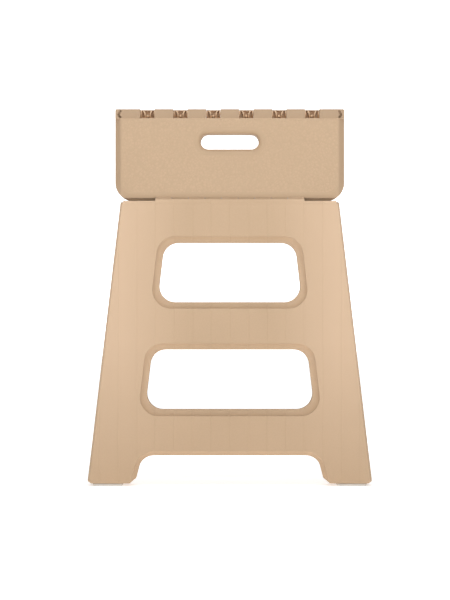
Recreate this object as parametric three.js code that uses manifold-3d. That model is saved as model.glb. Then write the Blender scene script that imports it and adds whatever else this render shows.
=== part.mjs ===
// Folding step stool, modelled folded flat and standing on its own feet.
//
// Millimetres. X runs across the stool, Y from front to back, Z up. The origin is on the floor,
// under the middle of the folded stool. The stool is two like halves, front and back. Each half
// is modelled in its own frame: x across, y the depth measured inwards from its outer face and
// z the height. The front half's frame is moved to the front face, and the back half's is also
// turned half a turn about Z.
//
// A leg panel carries a seat half on a pin along its top edge, and a side panel on a rod down
// each side. The seat halves meet in a comb of fingers on moulded pegs, and the side panels
// meet on short pins, so that opening one seat half opens everything.

import * as THREE from 'three';
import { ConvexGeometry } from 'three/addons/geometries/ConvexGeometry.js';
import { mergeVertices } from 'three/addons/utils/BufferGeometryUtils.js';
import Module from 'manifold-3d';

const wasm = await Module();
wasm.setup();

// ---------------------------------------------------------------- driving dimensions

const HALF_THICKNESS = 21.5;     // outer face to the middle of the folded stool
const CORNER_STEPS = 2;          // half the number of chords in a rounded corner
const ROUND_SIDES = 12;
const BORE_SIDES = 8;
const FACET_TOLERANCE = 0.001;  // facets nearer to flat than this are merged

const LEG_HALF_AT_FLOOR = 199.3; // half width of a leg panel, its side lines carried to the floor
const LEG_TAPER = 0.1182;        // how much each side leans in for each unit of height
const LEG_TOP = 396.2;
const LEG_DEPTH = 15.7;
const LEG_SKIN = 2.6;
const LEG_BEVEL = 2.2;
const WALL = 3;
const RIB = 2.2;

const FOOT_BOTTOM = 3.2;
const FOOT_HALF = 194;           // half the width over the flat of the feet
const FOOT_CHAMFER_TOP = 6.5;
const ARCH_TOP = 42.4;
const ARCH_HALF_AT_TOP = 122.7;
const ARCH_FLARE = 0.264;
const ARCH_RADIUS = 22;
const ARCH_RIM = { width: 5.5, depth: 7 };
// The chamfer at the inner corner of each foot, in x and z.
const FOOT_CORNER = [[128, -2], [141, -2], [140.5, 2.8], [132, 9.8], [128, 9.8]];

const WINDOW_RADIUS = 24;
const WINDOW_RIM = { width: 8.5, depth: 8.5 }; // how far a window closes in, and over what depth
const UPPER_WINDOW = { bottom: 247.6, top: 347.9, half: 111.2 };
const LOWER_WINDOW = { bottom: 97.6, top: 198.6, half: 128.4 };
const LEG_RIBS = { levels: [70, 223], uprights: [-104, -52, 0, 52, 104], reach: 180 };


const PAD = { inner: 150.4, outer: 191, near: 1.6, far: 14.2, top: 2.9, chamfer: 1.5 };
const PAD_PEG = { radius: 2.4, top: 8.5, spread: 10, clearance: 0.6 };

const HINGE_DEPTH = 7;           // every leg hinge line lies this far behind the outer face
const SEAT_HINGE_HEIGHT = 401;
const CENTRE_HINGE_HEIGHT = 520.5;
const SIDE_HINGE_INSET = 17;     // side hinge line to the slanted edge of the leg panel
const ARM = CENTRE_HINGE_HEIGHT - SEAT_HINGE_HEIGHT;

const PIN_RADIUS = 1.8;
const BORE_RADIUS = 2.35;
const KNUCKLE_RADIUS = 4.2;
const HINGE_ZONE = 104;          // half the length of the hinge along the top of a leg panel
const KNUCKLE_PITCH = 2 * HINGE_ZONE / 9;
const KNUCKLE_WIDTH = KNUCKLE_PITCH - 0.6;
const KNUCKLE_CLEAR_RADIUS = 4.7;
const LIP_TOP = 400.5;
const COVE_RADIUS = 7.1;

const SEAT_HALF = 159.7;
const SEAT_BOTTOM = 398.2;
const SEAT_TIP = 525.5;
const SEAT_DEPTH = 20.9;
const SEAT_SKIN = 3;
const SEAT_WALL = 2.5;
const SEAT_RADIUS = 24;
const SEAT_BEVEL = { side: 7.3, bottom: 9.2, depth: 4 };
const SEAT_HINGE_EDGE = 401.5;
const SKIRT_DEPTH = 6.5;         // below the hinge edge only a skirt at this depth is left
const SEAT_SHALLOW_TOP = 410.7;  // below this the seat half is shallow, to clear the leg panel
const SEAT_SHALLOW_DEPTH = 11.6;
const SEAT_SHALLOW_HALF = 156;
const RIBBED_HALF = 132;         // ribs stay within this, so that the side panels fit beside them
const CORNER_DEPTH = 14.5;       // depth of the end wall outside the ribs
const SEAT_RIBS = { level: 440, uprights: [18, 54, 92, RIBBED_HALF - RIB / 2] };
const SLOT = { height: 480.4, half: 48, tall: 18.2, rim: 6.4, rimDepth: 7 };

const FINGER_PITCH = 46;
const FINGER_GAP = 0.4;
const FRONT_FINGER_HALF = 13;
const POCKET_FLOOR = 514.3;
const END_WALL = 2.5;
const CHEEK = 2.2;
const CHEEK_RADIUS = 4.8;
const PEG_RADIUS = 2;
const PEG_HOLE_RADIUS = 2.6;
const PEG_ENGAGEMENT = 2;        // how far a peg reaches into its neighbour's cheek
const POST = { radius: 1.3, height: 516.2 };
const WEB = { radius: 7.6, outside: 1.6, height: 517.8, spread: 55, thick: 1.6 };
const CORNER_NOTCH = { inner: 150.4, outer: 155.6 };

const PLATE_NEAR = 9.2;          // side panel faces, measured inwards from the side hinge line
const PLATE_FAR = 14.2;
const PLATE_START = 9.3;         // where the plate starts, across from the side hinge line
const PLATE_END = 119.2;
const PLATE_NOTCH = 113.9;
const STILE_END = 50;
const SIDE_BOTTOM = 9;
// The chamfer at the lower inner corner of each stile, in the side frame.
const STILE_CORNER = [[-51, 8], [-40.5, 8], [-51, 21.5]];
const SIDE_TOP = 394;
const SIDE_BARS = [[60, 104], [207.5, 255.5], [362, SIDE_TOP]];
const STILE_LEVELS = [SIDE_BOTTOM, 104, 207.5, 309, SIDE_TOP]; // ribs across a stile's recess
const SIDE_RECESS = 2.8;
const SIDE_BORDER = 3;
const SIDE_KNUCKLE = { radius: 3.9, length: 24, heights: [45, 150, 255, 360] };
const MIDDLE_KNUCKLE_RADIUS = 5;
const BRACKET_GAP = 0.5;
const CHANNEL = { outer: -14, inner: 13, near: -4.4, foot: -20, head: 420 };
const ROD_START = 24;
const ROD_END = 384;
const ROD_BORE_START = 20;

// ---------------------------------------------------------------- materials

const plastic = () => new THREE.MeshStandardMaterial({ color: 0xd2b28f, roughness: 0.6, metalness: 0 });
const steel = () => new THREE.MeshStandardMaterial({ color: 0xb9bcc0, roughness: 0.3, metalness: 1 });
const rubber = () => new THREE.MeshStandardMaterial({ color: 0xc9c1b6, roughness: 0.85, metalness: 0 });

// ---------------------------------------------------------------- solids

// A manifold solid from a closed three.js geometry.
function solid(geometry) {
  geometry.deleteAttribute('normal');
  geometry.deleteAttribute('uv');
  const merged = mergeVertices(geometry, 1e-4);
  return new wasm.Manifold(new wasm.Mesh({
    numProp: 3,
    vertProperties: new Float32Array(merged.attributes.position.array),
    triVerts: new Uint32Array(merged.index.array),
  }));
}

const join = (solids) => solids.reduce((whole, piece) => whole.add(piece));

function boxGeometry([x0, x1], [y0, y1], [z0, z1]) {
  return new THREE.BoxGeometry(Math.abs(x1 - x0), y1 - y0, z1 - z0)
    .translate((x0 + x1) / 2, (y0 + y1) / 2, (z0 + z1) / 2);
}

const box = (x, y, z) => solid(boxGeometry(x, y, z));

// A round bar along X, centred at height z and depth y.
function barX(radius, x0, x1, y, z, sides = ROUND_SIDES) {
  const geometry = new THREE.CylinderGeometry(radius, radius, x1 - x0, sides).rotateZ(Math.PI / 2);
  return solid(geometry.translate((x0 + x1) / 2, y, z));
}

// A round bar along Y, from depth y0 to y1.
function barY(radius, x, y0, y1, z, sides = BORE_SIDES) {
  const geometry = new THREE.CylinderGeometry(radius, radius, y1 - y0, sides);
  return solid(geometry.translate(x, (y0 + y1) / 2, z));
}

// A round bar along Z.
function barZGeometry(radius, x, y, z0, z1, sides = ROUND_SIDES) {
  const geometry = new THREE.CylinderGeometry(radius, radius, z1 - z0, sides).rotateX(Math.PI / 2);
  return geometry.translate(x, y, (z0 + z1) / 2);
}

// ---------------------------------------------------------------- outlines in the x-z plane

// A convex outline is a list of corners [x, z, radius], counterclockwise.

function neighbours(corners, index) {
  const here = new THREE.Vector2(corners[index][0], corners[index][1]);
  const toCorner = (step) => {
    const [x, z] = corners[(index + step + corners.length) % corners.length];
    return new THREE.Vector2(x, z).sub(here).normalize();
  };
  const back = toCorner(-1);
  const ahead = toCorner(1);
  const inwards = back.clone().add(ahead).normalize();
  const halfAngle = Math.acos(THREE.MathUtils.clamp(back.dot(ahead), -1, 1)) / 2;
  return { here, back, ahead, inwards, halfAngle };
}

// The same outline moved inwards by a distance, or outwards by a negative one.
function inset(corners, distance) {
  return corners.map(([, , radius], index) => {
    const { here, inwards, halfAngle } = neighbours(corners, index);
    const moved = here.addScaledVector(inwards, distance / Math.sin(halfAngle));
    return [moved.x, moved.y, Math.max(radius - distance, 0)];
  });
}

function outline(corners) {
  const shape = new THREE.Shape();
  corners.forEach(([, , radius], index) => {
    const { here, back, ahead, inwards, halfAngle } = neighbours(corners, index);
    const reach = radius / Math.tan(halfAngle);
    const start = here.clone().addScaledVector(back, reach);
    const end = here.clone().addScaledVector(ahead, reach);
    if (index === 0) {
      shape.moveTo(start.x, start.y);
    } else {
      shape.lineTo(start.x, start.y);
    }
    if (radius > 0) {
      const centre = here.clone().addScaledVector(inwards, radius / Math.sin(halfAngle));
      const from = start.sub(centre).angle();
      const to = end.sub(centre).angle();
      shape.absarc(centre.x, centre.y, radius, from, to, false);
    }
  });
  return shape;
}

// The solid spanned by convex outlines, each standing at its own depth: [corners, depth].
function loft(...sections) {
  const points = sections.flatMap(([corners, depth]) => outline(corners)
    .getPoints(CORNER_STEPS)
    .map((point) => new THREE.Vector3(point.x, depth, point.y)));
  return solid(new ConvexGeometry(points));
}

// A shape drawn in x and z, given thickness from depth y0 to y1.
function slab(shape, y0, y1) {
  const geometry = new THREE.ExtrudeGeometry(shape, {
    depth: y1 - y0, bevelEnabled: false, curveSegments: CORNER_STEPS,
  });
  return solid(geometry.rotateX(Math.PI / 2).translate(0, y1, 0));
}

// Corners mirrored to make a shape that is symmetrical about x = 0.
function symmetrical(rightCorners) {
  const left = rightCorners.map(([x, z, radius]) => [-x, z, radius]).reverse();
  return [...rightCorners, ...left];
}

const legHalf = (height) => LEG_HALF_AT_FLOOR - LEG_TAPER * height;

function windowOutline({ bottom, top, half }) {
  const halfAtTop = half - LEG_TAPER * (top - bottom);
  return symmetrical([[half, bottom, WINDOW_RADIUS], [halfAtTop, top, WINDOW_RADIUS]]);
}

// ---------------------------------------------------------------- side hinge frames

// Side is +1 for the side at positive x and -1 for the other. In a side frame, z runs up the
// side hinge line, x points away from the middle of the stool at side +1, and y is the depth
// behind the hinge line.

const lean = Math.atan(LEG_TAPER);
const sideHingeAtFloor = LEG_HALF_AT_FLOOR - SIDE_HINGE_INSET / Math.cos(lean);

function inSideFrame(side, geometry) {
  return solid(geometry.rotateY(-side * lean).translate(side * sideHingeAtFloor, HINGE_DEPTH, 0));
}

// A box whose first span is measured from the hinge line towards the middle of the stool.
const sideBox = (side, across, depth, up) => boxGeometry(
  [-side * across[0], -side * across[1]], depth, up,
);

// ---------------------------------------------------------------- leg panel

const legOutline = symmetrical([
  [FOOT_HALF, FOOT_BOTTOM, 5],
  [legHalf(FOOT_CHAMFER_TOP), FOOT_CHAMFER_TOP, 4],
  [legHalf(LEG_TOP), LEG_TOP, 3],
]);

const archOutline = symmetrical([
  [ARCH_HALF_AT_TOP + ARCH_FLARE * (ARCH_TOP + 5), -5, 0],
  [ARCH_HALF_AT_TOP, ARCH_TOP, ARCH_RADIUS],
]);

// The hole of an opening whose rim closes in over its depth and then runs straight to the back,
// and the wall round it. Edge is the outline at the outer face.
function rimmedOpening(edge, { width, depth }) {
  const inner = inset(edge, width);
  const wallOuter = inset(edge, -WALL);
  const wallInner = inset(edge, width - WALL);
  const hole = join([
    loft([inset(edge, -width / depth), -1], [inner, depth]),
    loft([inner, depth - 1], [inner, LEG_DEPTH + 1]),
  ]);
  const wall = join([
    loft([wallOuter, 1], [wallInner, depth + 1]),
    loft([wallInner, depth], [wallInner, LEG_DEPTH]),
  ]);
  return { hole, wall };
}

function legRibs() {
  const depth = [1, LEG_DEPTH];
  const { levels, uprights, reach } = LEG_RIBS;
  return join([
    ...levels.map((z) => box([-reach, reach], depth, [z - RIB / 2, z + RIB / 2])),
    ...uprights.map((x) => box([x - RIB / 2, x + RIB / 2], depth, [ARCH_TOP, LEG_TOP - 1])),
  ]);
}

// The open channel that each side hinge runs in, its inner wall and its rod brackets.
function legChannels() {
  const spaces = [];
  const walls = [];
  const bores = [];
  for (const side of [-1, 1]) {
    const { outer, inner, near, foot, head } = CHANNEL;
    const wallDepth = [near - 0.6, LEG_DEPTH - HINGE_DEPTH];
    spaces.push(inSideFrame(side, sideBox(side, [outer, inner], [near, 20], [foot, head])));
    walls.push(inSideFrame(side, sideBox(side, [inner, inner + RIB], wallDepth, [0, LEG_TOP])));
    const clear = SIDE_KNUCKLE.length / 2 + BRACKET_GAP;
    const below = SIDE_KNUCKLE.heights.map((height) => height - clear - WALL);
    for (const z of [...below, SIDE_KNUCKLE.heights.at(-1) + clear]) {
      const across = [outer - 0.5, inner + 0.5];
      const bracketDepth = [near - 0.6, KNUCKLE_RADIUS];
      walls.push(inSideFrame(side, sideBox(side, across, bracketDepth, [z, z + WALL])));
    }
    const bore = barZGeometry(BORE_RADIUS, 0, 0, ROD_BORE_START, ROD_END + 0.5, BORE_SIDES);
    bores.push(inSideFrame(side, bore));
  }
  return { spaces: join(spaces), walls: join(walls), bores: join(bores) };
}

function seatHingeBore() {
  const reach = HINGE_ZONE + 0.3;
  return barX(BORE_RADIUS, -reach, reach, HINGE_DEPTH, SEAT_HINGE_HEIGHT, BORE_SIDES);
}

function legKnuckles() {
  const pieces = [box([-HINGE_ZONE, HINGE_ZONE], [0, 2], [LEG_TOP - 2, LIP_TOP])];
  for (const step of [-4, -2, 0, 2, 4]) {
    const x = step * KNUCKLE_PITCH;
    const x0 = x - KNUCKLE_WIDTH / 2;
    const x1 = x + KNUCKLE_WIDTH / 2;
    pieces.push(barX(KNUCKLE_RADIUS, x0, x1, HINGE_DEPTH, SEAT_HINGE_HEIGHT));
    for (const start of [x0, x1 - RIB]) {
      pieces.push(box(
        [start, start + RIB],
        [1.5, HINGE_DEPTH + KNUCKLE_RADIUS],
        [LEG_TOP - 1, SEAT_HINGE_HEIGHT - 0.5],
      ));
    }
  }
  return join(pieces);
}

// A convex outline [x, z] on the side at positive x, or mirrored to the other side.
function onSide(side, points) {
  const corners = points.map(([x, z]) => [side * x, z, 0]);
  return side > 0 ? corners : corners.reverse();
}

// What is cut from the panel at one side: the cove that the seat half's skirt swings in, the
// inner corner of the foot and the holes for the pad's pegs.
function legSideCuts(side) {
  const corner = onSide(side, FOOT_CORNER);
  const holeRadius = PAD_PEG.radius + PAD_PEG.clearance;
  const holeDepth = (PAD.near + PAD.far) / 2;
  const holes = padPegs(side).map((x) => solid(
    barZGeometry(holeRadius, x, holeDepth, FOOT_BOTTOM - 2, FOOT_BOTTOM + 4, BORE_SIDES),
  ));
  const reach = [HINGE_ZONE, SEAT_HALF + 10].map((x) => side * x).sort((a, b) => a - b);
  return join([
    barX(COVE_RADIUS, ...reach, HINGE_DEPTH, SEAT_HINGE_HEIGHT, 20),
    loft([corner, -1], [corner, LEG_DEPTH + 1]),
    ...holes,
  ]);
}

function legPanel() {
  const outer = loft([inset(legOutline, LEG_BEVEL), 0], [legOutline, LEG_BEVEL], [legOutline, LEG_DEPTH]);
  const hollowEdge = inset(legOutline, WALL);
  const hollow = loft([hollowEdge, LEG_SKIN], [hollowEdge, LEG_DEPTH + 1]);
  const openings = [
    rimmedOpening(windowOutline(UPPER_WINDOW), WINDOW_RIM),
    rimmedOpening(windowOutline(LOWER_WINDOW), WINDOW_RIM),
    rimmedOpening(inset(archOutline, -ARCH_RIM.width), ARCH_RIM),
  ];
  const channels = legChannels();
  const inside = join([
    legRibs().subtract(channels.spaces), channels.walls, ...openings.map(({ wall }) => wall),
  ]).intersect(outer);
  const cuts = join([
    ...openings.map(({ hole }) => hole), channels.bores, seatHingeBore(),
    legSideCuts(-1), legSideCuts(1),
  ]);
  return join([outer.subtract(hollow), inside, legKnuckles()]).subtract(cuts);
}

// ---------------------------------------------------------------- foot pad

function padPegs(side) {
  const middle = (PAD.inner + PAD.outer) / 2;
  return [middle - PAD_PEG.spread, middle + PAD_PEG.spread].map((x) => side * x);
}

function footPad(side) {
  const { inner, outer, near, far, top, chamfer } = PAD;
  const section = onSide(side, [
    [inner + chamfer, 0], [outer - chamfer, 0], [outer, chamfer], [outer, top], [inner, top],
    [inner, chamfer],
  ]);
  const pegs = padPegs(side).map((x) => solid(
    barZGeometry(PAD_PEG.radius, x, (near + far) / 2, top - 1, PAD_PEG.top, BORE_SIDES),
  ));
  return join([loft([section, near], [section, far]), ...pegs]);
}

// ---------------------------------------------------------------- seat half

// The seat half's outline, drawn in by a different amount at the sides, the bottom and the tip.
function seatOutline(side, bottom, tip) {
  const half = SEAT_HALF - side;
  const radius = Math.max(SEAT_RADIUS - side, 1);
  return symmetrical([[half, SEAT_BOTTOM + bottom, radius], [half, SEAT_TIP - tip, 1]]);
}

function seatShell() {
  const { side, bottom, depth } = SEAT_BEVEL;
  const outer = loft(
    [seatOutline(side, bottom, 0.8), 0],
    [seatOutline(0, 0, 0), depth],
    [seatOutline(0, 0, 0), SEAT_DEPTH],
  );
  const endWallInner = SEAT_TIP - POCKET_FLOOR + END_WALL;
  const hollow = loft(
    [seatOutline(side + SEAT_WALL, bottom + SEAT_WALL, endWallInner), SEAT_SKIN],
    [seatOutline(SEAT_WALL, SEAT_WALL, endWallInner), depth + SEAT_WALL],
    [seatOutline(SEAT_WALL, SEAT_WALL, endWallInner), SEAT_DEPTH + 1],
  );
  return { outer, hollow };
}

function seatRibs() {
  const deep = [2, SEAT_DEPTH];
  const foot = SEAT_SHALLOW_TOP + 0.3;
  const upright = (x) => box([x - RIB / 2, x + RIB / 2], deep, [foot, POCKET_FLOOR - 1]);
  const level = (z) => box([-RIBBED_HALF, RIBBED_HALF], deep, [z, z + RIB]);
  const ribs = [level(foot), level(SEAT_RIBS.level)];
  for (const x of SEAT_RIBS.uprights) {
    ribs.push(upright(-x), upright(x));
  }
  const slotWall = inset(slotOutline, SLOT.rim - SEAT_WALL);
  ribs.push(loft([slotWall, 1], [slotWall, SEAT_DEPTH]));
  return join(ribs);
}

const slotOutline = symmetrical([
  [SLOT.half, SLOT.height - SLOT.tall, SLOT.tall - 0.1],
  [SLOT.half, SLOT.height + SLOT.tall, SLOT.tall - 0.1],
]);

function slotHole() {
  const narrow = inset(slotOutline, SLOT.rim);
  return loft([slotOutline, -0.01], [narrow, SLOT.rimDepth])
    .add(loft([narrow, SLOT.rimDepth - 1], [narrow, SEAT_DEPTH + 1]));
}

function seatKnuckles() {
  const pieces = [];
  for (const step of [-3, -1, 1, 3]) {
    const x = step * KNUCKLE_PITCH;
    const x0 = x - KNUCKLE_WIDTH / 2;
    const x1 = x + KNUCKLE_WIDTH / 2;
    pieces.push(barX(KNUCKLE_RADIUS, x0, x1, HINGE_DEPTH, SEAT_HINGE_HEIGHT));
    for (const start of [x0, x1 - RIB]) {
      pieces.push(box(
        [start, start + RIB],
        [2.4, HINGE_DEPTH + KNUCKLE_RADIUS],
        [SEAT_HINGE_HEIGHT, SEAT_SHALLOW_TOP + 1],
      ));
    }
  }
  return join(pieces);
}

// Room in the seat half for the leg panel: all that lies below the hinge edge, the deep part
// that would swing into the leg panel, and the leg panel's knuckles.
function legClearance() {
  const spaces = [
    box([-HINGE_ZONE - 0.4, HINGE_ZONE + 0.4], [-1, 30], [380, SEAT_HINGE_EDGE]),
    box([-SEAT_HALF, SEAT_HALF], [-1, SKIRT_DEPTH], [380, SEAT_HINGE_EDGE]),
    box([-SEAT_SHALLOW_HALF, SEAT_SHALLOW_HALF], [SEAT_SHALLOW_DEPTH, 30], [380, SEAT_SHALLOW_TOP]),
    seatHingeBore(),
  ];
  for (const step of [-4, -2, 0, 2, 4]) {
    const half = KNUCKLE_WIDTH / 2 + 0.4;
    const x = step * KNUCKLE_PITCH;
    spaces.push(barX(KNUCKLE_CLEAR_RADIUS, x - half, x + half, HINGE_DEPTH, SEAT_HINGE_HEIGHT));
  }
  return join(spaces);
}

// The wall along one side of a finger, rounded about the centre hinge line.
function cheek(x0, x1) {
  const points = [
    new THREE.Vector2(1, POCKET_FLOOR - 2),
    new THREE.Vector2(1, SEAT_TIP),
    new THREE.Vector2(18, POCKET_FLOOR - 2),
  ];
  for (let step = 0; step < BORE_SIDES; step += 1) {
    const angle = (step + 0.5) * 2 * Math.PI / BORE_SIDES;
    points.push(new THREE.Vector2(
      HALF_THICKNESS + CHEEK_RADIUS * Math.cos(angle),
      CENTRE_HINGE_HEIGHT + CHEEK_RADIUS * Math.sin(angle),
    ));
  }
  const corners = points.flatMap(({ x, y }) => [new THREE.Vector3(x0, x, y), new THREE.Vector3(x1, x, y)]);
  return solid(new ConvexGeometry(corners));
}

// A springy web inside a finger: a band bowed towards the middle of the finger.
function fingerWeb(x, direction) {
  const spread = THREE.MathUtils.degToRad(WEB.spread);
  const middle = direction > 0 ? 0 : Math.PI;
  const centre = x - direction * WEB.outside;
  const outer = WEB.radius + WEB.thick / 2;
  const inner = WEB.radius - WEB.thick / 2;
  const shape = new THREE.Shape();
  shape.absarc(centre, WEB.height, outer, middle - spread, middle + spread, false);
  shape.absarc(centre, WEB.height, inner, middle + spread, middle - spread, true);
  shape.closePath();
  return slab(shape, 2, SEAT_DEPTH);
}

// The spans of x that each seat half's fingers take up.
function fingerSpans(owner) {
  const half = owner === 'front' ? FRONT_FINGER_HALF : FINGER_PITCH / 2 - FRONT_FINGER_HALF - FINGER_GAP;
  const start = owner === 'front' ? -2 * FINGER_PITCH : -2.5 * FINGER_PITCH;
  const count = owner === 'front' ? 5 : 6;
  return Array.from({ length: count }, (_, index) => {
    const centre = start + index * FINGER_PITCH;
    return [centre - half, centre + half];
  });
}

// One finger: its skin, a cheek at each side, the webs and post between them, and the thin
// floor that closes it at the middle of the folded stool.
function finger([x0, x1], outer) {
  const skin = box([x0, x1], [-1, SEAT_SKIN], [POCKET_FLOOR - 2, SEAT_TIP]).intersect(outer);
  const room = box([x0 + 0.5, x1 - 0.5], [0, SEAT_DEPTH], [POCKET_FLOOR - 2, SEAT_TIP - 0.3]);
  const webs = join([fingerWeb(x0, 1), fingerWeb(x1, -1)]).intersect(room);
  const post = barY(POST.radius, (x0 + x1) / 2, 2, SEAT_DEPTH, POST.height);
  const floor = box([x0 + 1, x1 - 1], [SEAT_DEPTH - 1.2, SEAT_DEPTH], [POCKET_FLOOR - 2, SEAT_TIP]);
  return join([skin, cheek(x0, x0 + CHEEK), cheek(x1 - CHEEK, x1), webs, post, floor]);
}

// The square end beyond the last pocket, with a notch through its skin.
function cornerPiece(side, outer) {
  const cornerStart = 3 * FINGER_PITCH - FRONT_FINGER_HALF;
  const span = (a, b) => [side * a, side * b].sort((first, second) => first - second);
  const tall = [POCKET_FLOOR - 2, SEAT_TIP];
  const { inner, outer: notchOuter } = CORNER_NOTCH;
  const notch = box(span(inner, notchOuter), [-1, SEAT_SKIN + 1], [POCKET_FLOOR, SEAT_TIP + 1]);
  const skin = box(span(cornerStart, SEAT_HALF), [-1, SEAT_SKIN], tall).intersect(outer);
  const skirt = box(span(SEAT_HALF - SEAT_WALL, SEAT_HALF), [1, SEAT_DEPTH], tall).intersect(outer);
  const wall = cheek(...span(cornerStart, cornerStart + CHEEK));
  return join([skin.subtract(notch), skirt, wall]);
}

function fingers(owner, outer) {
  const pieces = fingerSpans(owner).map((span) => finger(span, outer));
  if (owner === 'front') {
    pieces.push(cornerPiece(-1, outer), cornerPiece(1, outer));
  }
  return join(pieces);
}

// Pegs on the front fingers, each reaching through the cheek of its neighbour on the back half.
function pegs() {
  const bars = fingerSpans('back').flatMap(([x0, x1]) => [
    [x0 - FINGER_GAP - 1, x0 + PEG_ENGAGEMENT], [x1 - PEG_ENGAGEMENT, x1 + FINGER_GAP + 1],
  ]);
  return join(bars.map(([start, end]) => (
    barX(PEG_RADIUS, start, end, HALF_THICKNESS, CENTRE_HINGE_HEIGHT)
  )));
}

function seatHalf(owner) {
  const { outer, hollow } = seatShell();
  const tipSpace = box([-170, 170], [-1, 40], [POCKET_FLOOR, SEAT_TIP + 1]);
  const cornerSpaces = [-1, 1].map((side) => {
    const span = [side * RIBBED_HALF, side * (SEAT_HALF - SEAT_WALL)].sort((a, b) => a - b);
    return box(span, [CORNER_DEPTH, 30], [POCKET_FLOOR - END_WALL - 5, SEAT_TIP + 1]);
  });
  const ends = [-1, 1].flatMap((side) => {
    const span = (a, b) => [side * a, side * b].sort((first, second) => first - second);
    const endDepth = [1, SEAT_SHALLOW_DEPTH];
    const stepDepth = [SEAT_BEVEL.depth, SKIRT_DEPTH + SEAT_WALL];
    return [
      box(span(HINGE_ZONE + 0.5, HINGE_ZONE + 3), endDepth, [SEAT_BOTTOM, SEAT_SHALLOW_TOP + 1]),
      box(span(HINGE_ZONE + 0.5, SEAT_HALF), stepDepth, [SEAT_BOTTOM, SEAT_HINGE_EDGE + SEAT_WALL]),
    ];
  });
  const inside = join([seatRibs(), ...ends]).intersect(outer);
  let half = join([outer.subtract(hollow), inside]).subtract(join([tipSpace, ...cornerSpaces]));
  half = half.add(fingers(owner, outer)).subtract(legClearance());
  half = half.add(seatKnuckles()).subtract(seatHingeBore()).subtract(slotHole());
  if (owner === 'front') {
    return half.add(pegs());
  }
  const bore = [-3 * FINGER_PITCH, 3 * FINGER_PITCH];
  return half.subtract(barX(PEG_HOLE_RADIUS, ...bore, HALF_THICKNESS, CENTRE_HINGE_HEIGHT, BORE_SIDES));
}

// ---------------------------------------------------------------- side panel

// The middle knuckles of one bar: the front panel has the outer two, the back panel the inner.
function middleKnuckles([low, high], owner) {
  const quarter = (high - low) / 4;
  if (owner === 'front') {
    return [[low, low + quarter], [high - quarter, high]];
  }
  return [[low + quarter + FINGER_GAP, high - quarter - FINGER_GAP]];
}

function sidePanel(side, owner) {
  const plate = [PLATE_NEAR, PLATE_FAR];
  const across = (start, end, depth, up) => solid(sideBox(side, [start, end], depth, up));
  const axle = (radius, u, depth, [z0, z1], sides = ROUND_SIDES) => solid(
    barZGeometry(radius, -side * u, depth, z0, z1, sides),
  );
  const middleDepth = HALF_THICKNESS - HINGE_DEPTH;
  const pieces = [across(PLATE_START, STILE_END, plate, [SIDE_BOTTOM, SIDE_TOP])];
  const corner = onSide(side, STILE_CORNER);
  const cuts = [loft([corner, PLATE_NEAR - 1], [corner, PLATE_FAR + 1])];
  for (const bar of SIDE_BARS) {
    pieces.push(across(STILE_END - 1, PLATE_NOTCH, plate, bar));
    for (const span of middleKnuckles(bar, owner)) {
      pieces.push(across(PLATE_NOTCH - 1, PLATE_END, plate, span));
      pieces.push(axle(MIDDLE_KNUCKLE_RADIUS, ARM, middleDepth, span));
    }
    const recess = [PLATE_NEAR - 1, PLATE_NEAR + SIDE_RECESS];
    const inner = [bar[0] + SIDE_BORDER, bar[1] - SIDE_BORDER];
    cuts.push(across(STILE_END + SIDE_BORDER, PLATE_NOTCH - SIDE_BORDER, recess, inner));
    cuts.push(axle(BORE_RADIUS, ARM, middleDepth, [bar[0] - 1, bar[1] + 1], BORE_SIDES));
  }
  for (let index = 0; index + 1 < STILE_LEVELS.length; index += 1) {
    const span = [STILE_LEVELS[index] + SIDE_BORDER * 2 / 3, STILE_LEVELS[index + 1] - SIDE_BORDER * 2 / 3];
    const recess = [PLATE_NEAR - 1, PLATE_NEAR + SIDE_RECESS];
    cuts.push(across(PLATE_START + SIDE_BORDER, STILE_END - SIDE_BORDER, recess, span));
  }
  for (const height of SIDE_KNUCKLE.heights) {
    const span = [height - SIDE_KNUCKLE.length / 2, height + SIDE_KNUCKLE.length / 2];
    const section = [[PLATE_START + 3, PLATE_NEAR + 0.5], [PLATE_START + 0.2, PLATE_FAR - 2]];
    for (let step = 0; step < BORE_SIDES; step += 1) {
      const angle = step * 2 * Math.PI / BORE_SIDES;
      section.push([SIDE_KNUCKLE.radius * Math.cos(angle), SIDE_KNUCKLE.radius * Math.sin(angle)]);
    }
    const corners = section.flatMap(([u, depth]) => span.map((z) => new THREE.Vector3(-side * u, depth, z)));
    pieces.push(solid(new ConvexGeometry(corners)));
    cuts.push(axle(BORE_RADIUS, 0, 0, [span[0] - 1, span[1] + 1], BORE_SIDES));
  }
  return join(pieces).subtract(join(cuts));
}

// ---------------------------------------------------------------- placing the parts

function node(name, manifold, material) {
  const { vertProperties, triVerts } = manifold.simplify(FACET_TOLERANCE).getMesh();
  const geometry = new THREE.BufferGeometry();
  geometry.setAttribute('position', new THREE.BufferAttribute(vertProperties, 3));
  geometry.setIndex(new THREE.BufferAttribute(triVerts, 1));
  geometry.computeVertexNormals();
  const mesh = new THREE.Mesh(geometry, material);
  mesh.name = name;
  return mesh;
}

function rod(name, radius, length) {
  const geometry = new THREE.CylinderGeometry(radius, radius, length, ROUND_SIDES);
  const mesh = new THREE.Mesh(geometry, steel());
  mesh.name = name;
  return mesh;
}

function sideGroup(side) {
  const group = new THREE.Group();
  group.position.set(side * sideHingeAtFloor, HINGE_DEPTH, 0);
  group.rotation.y = -side * lean;
  return group;
}

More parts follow.
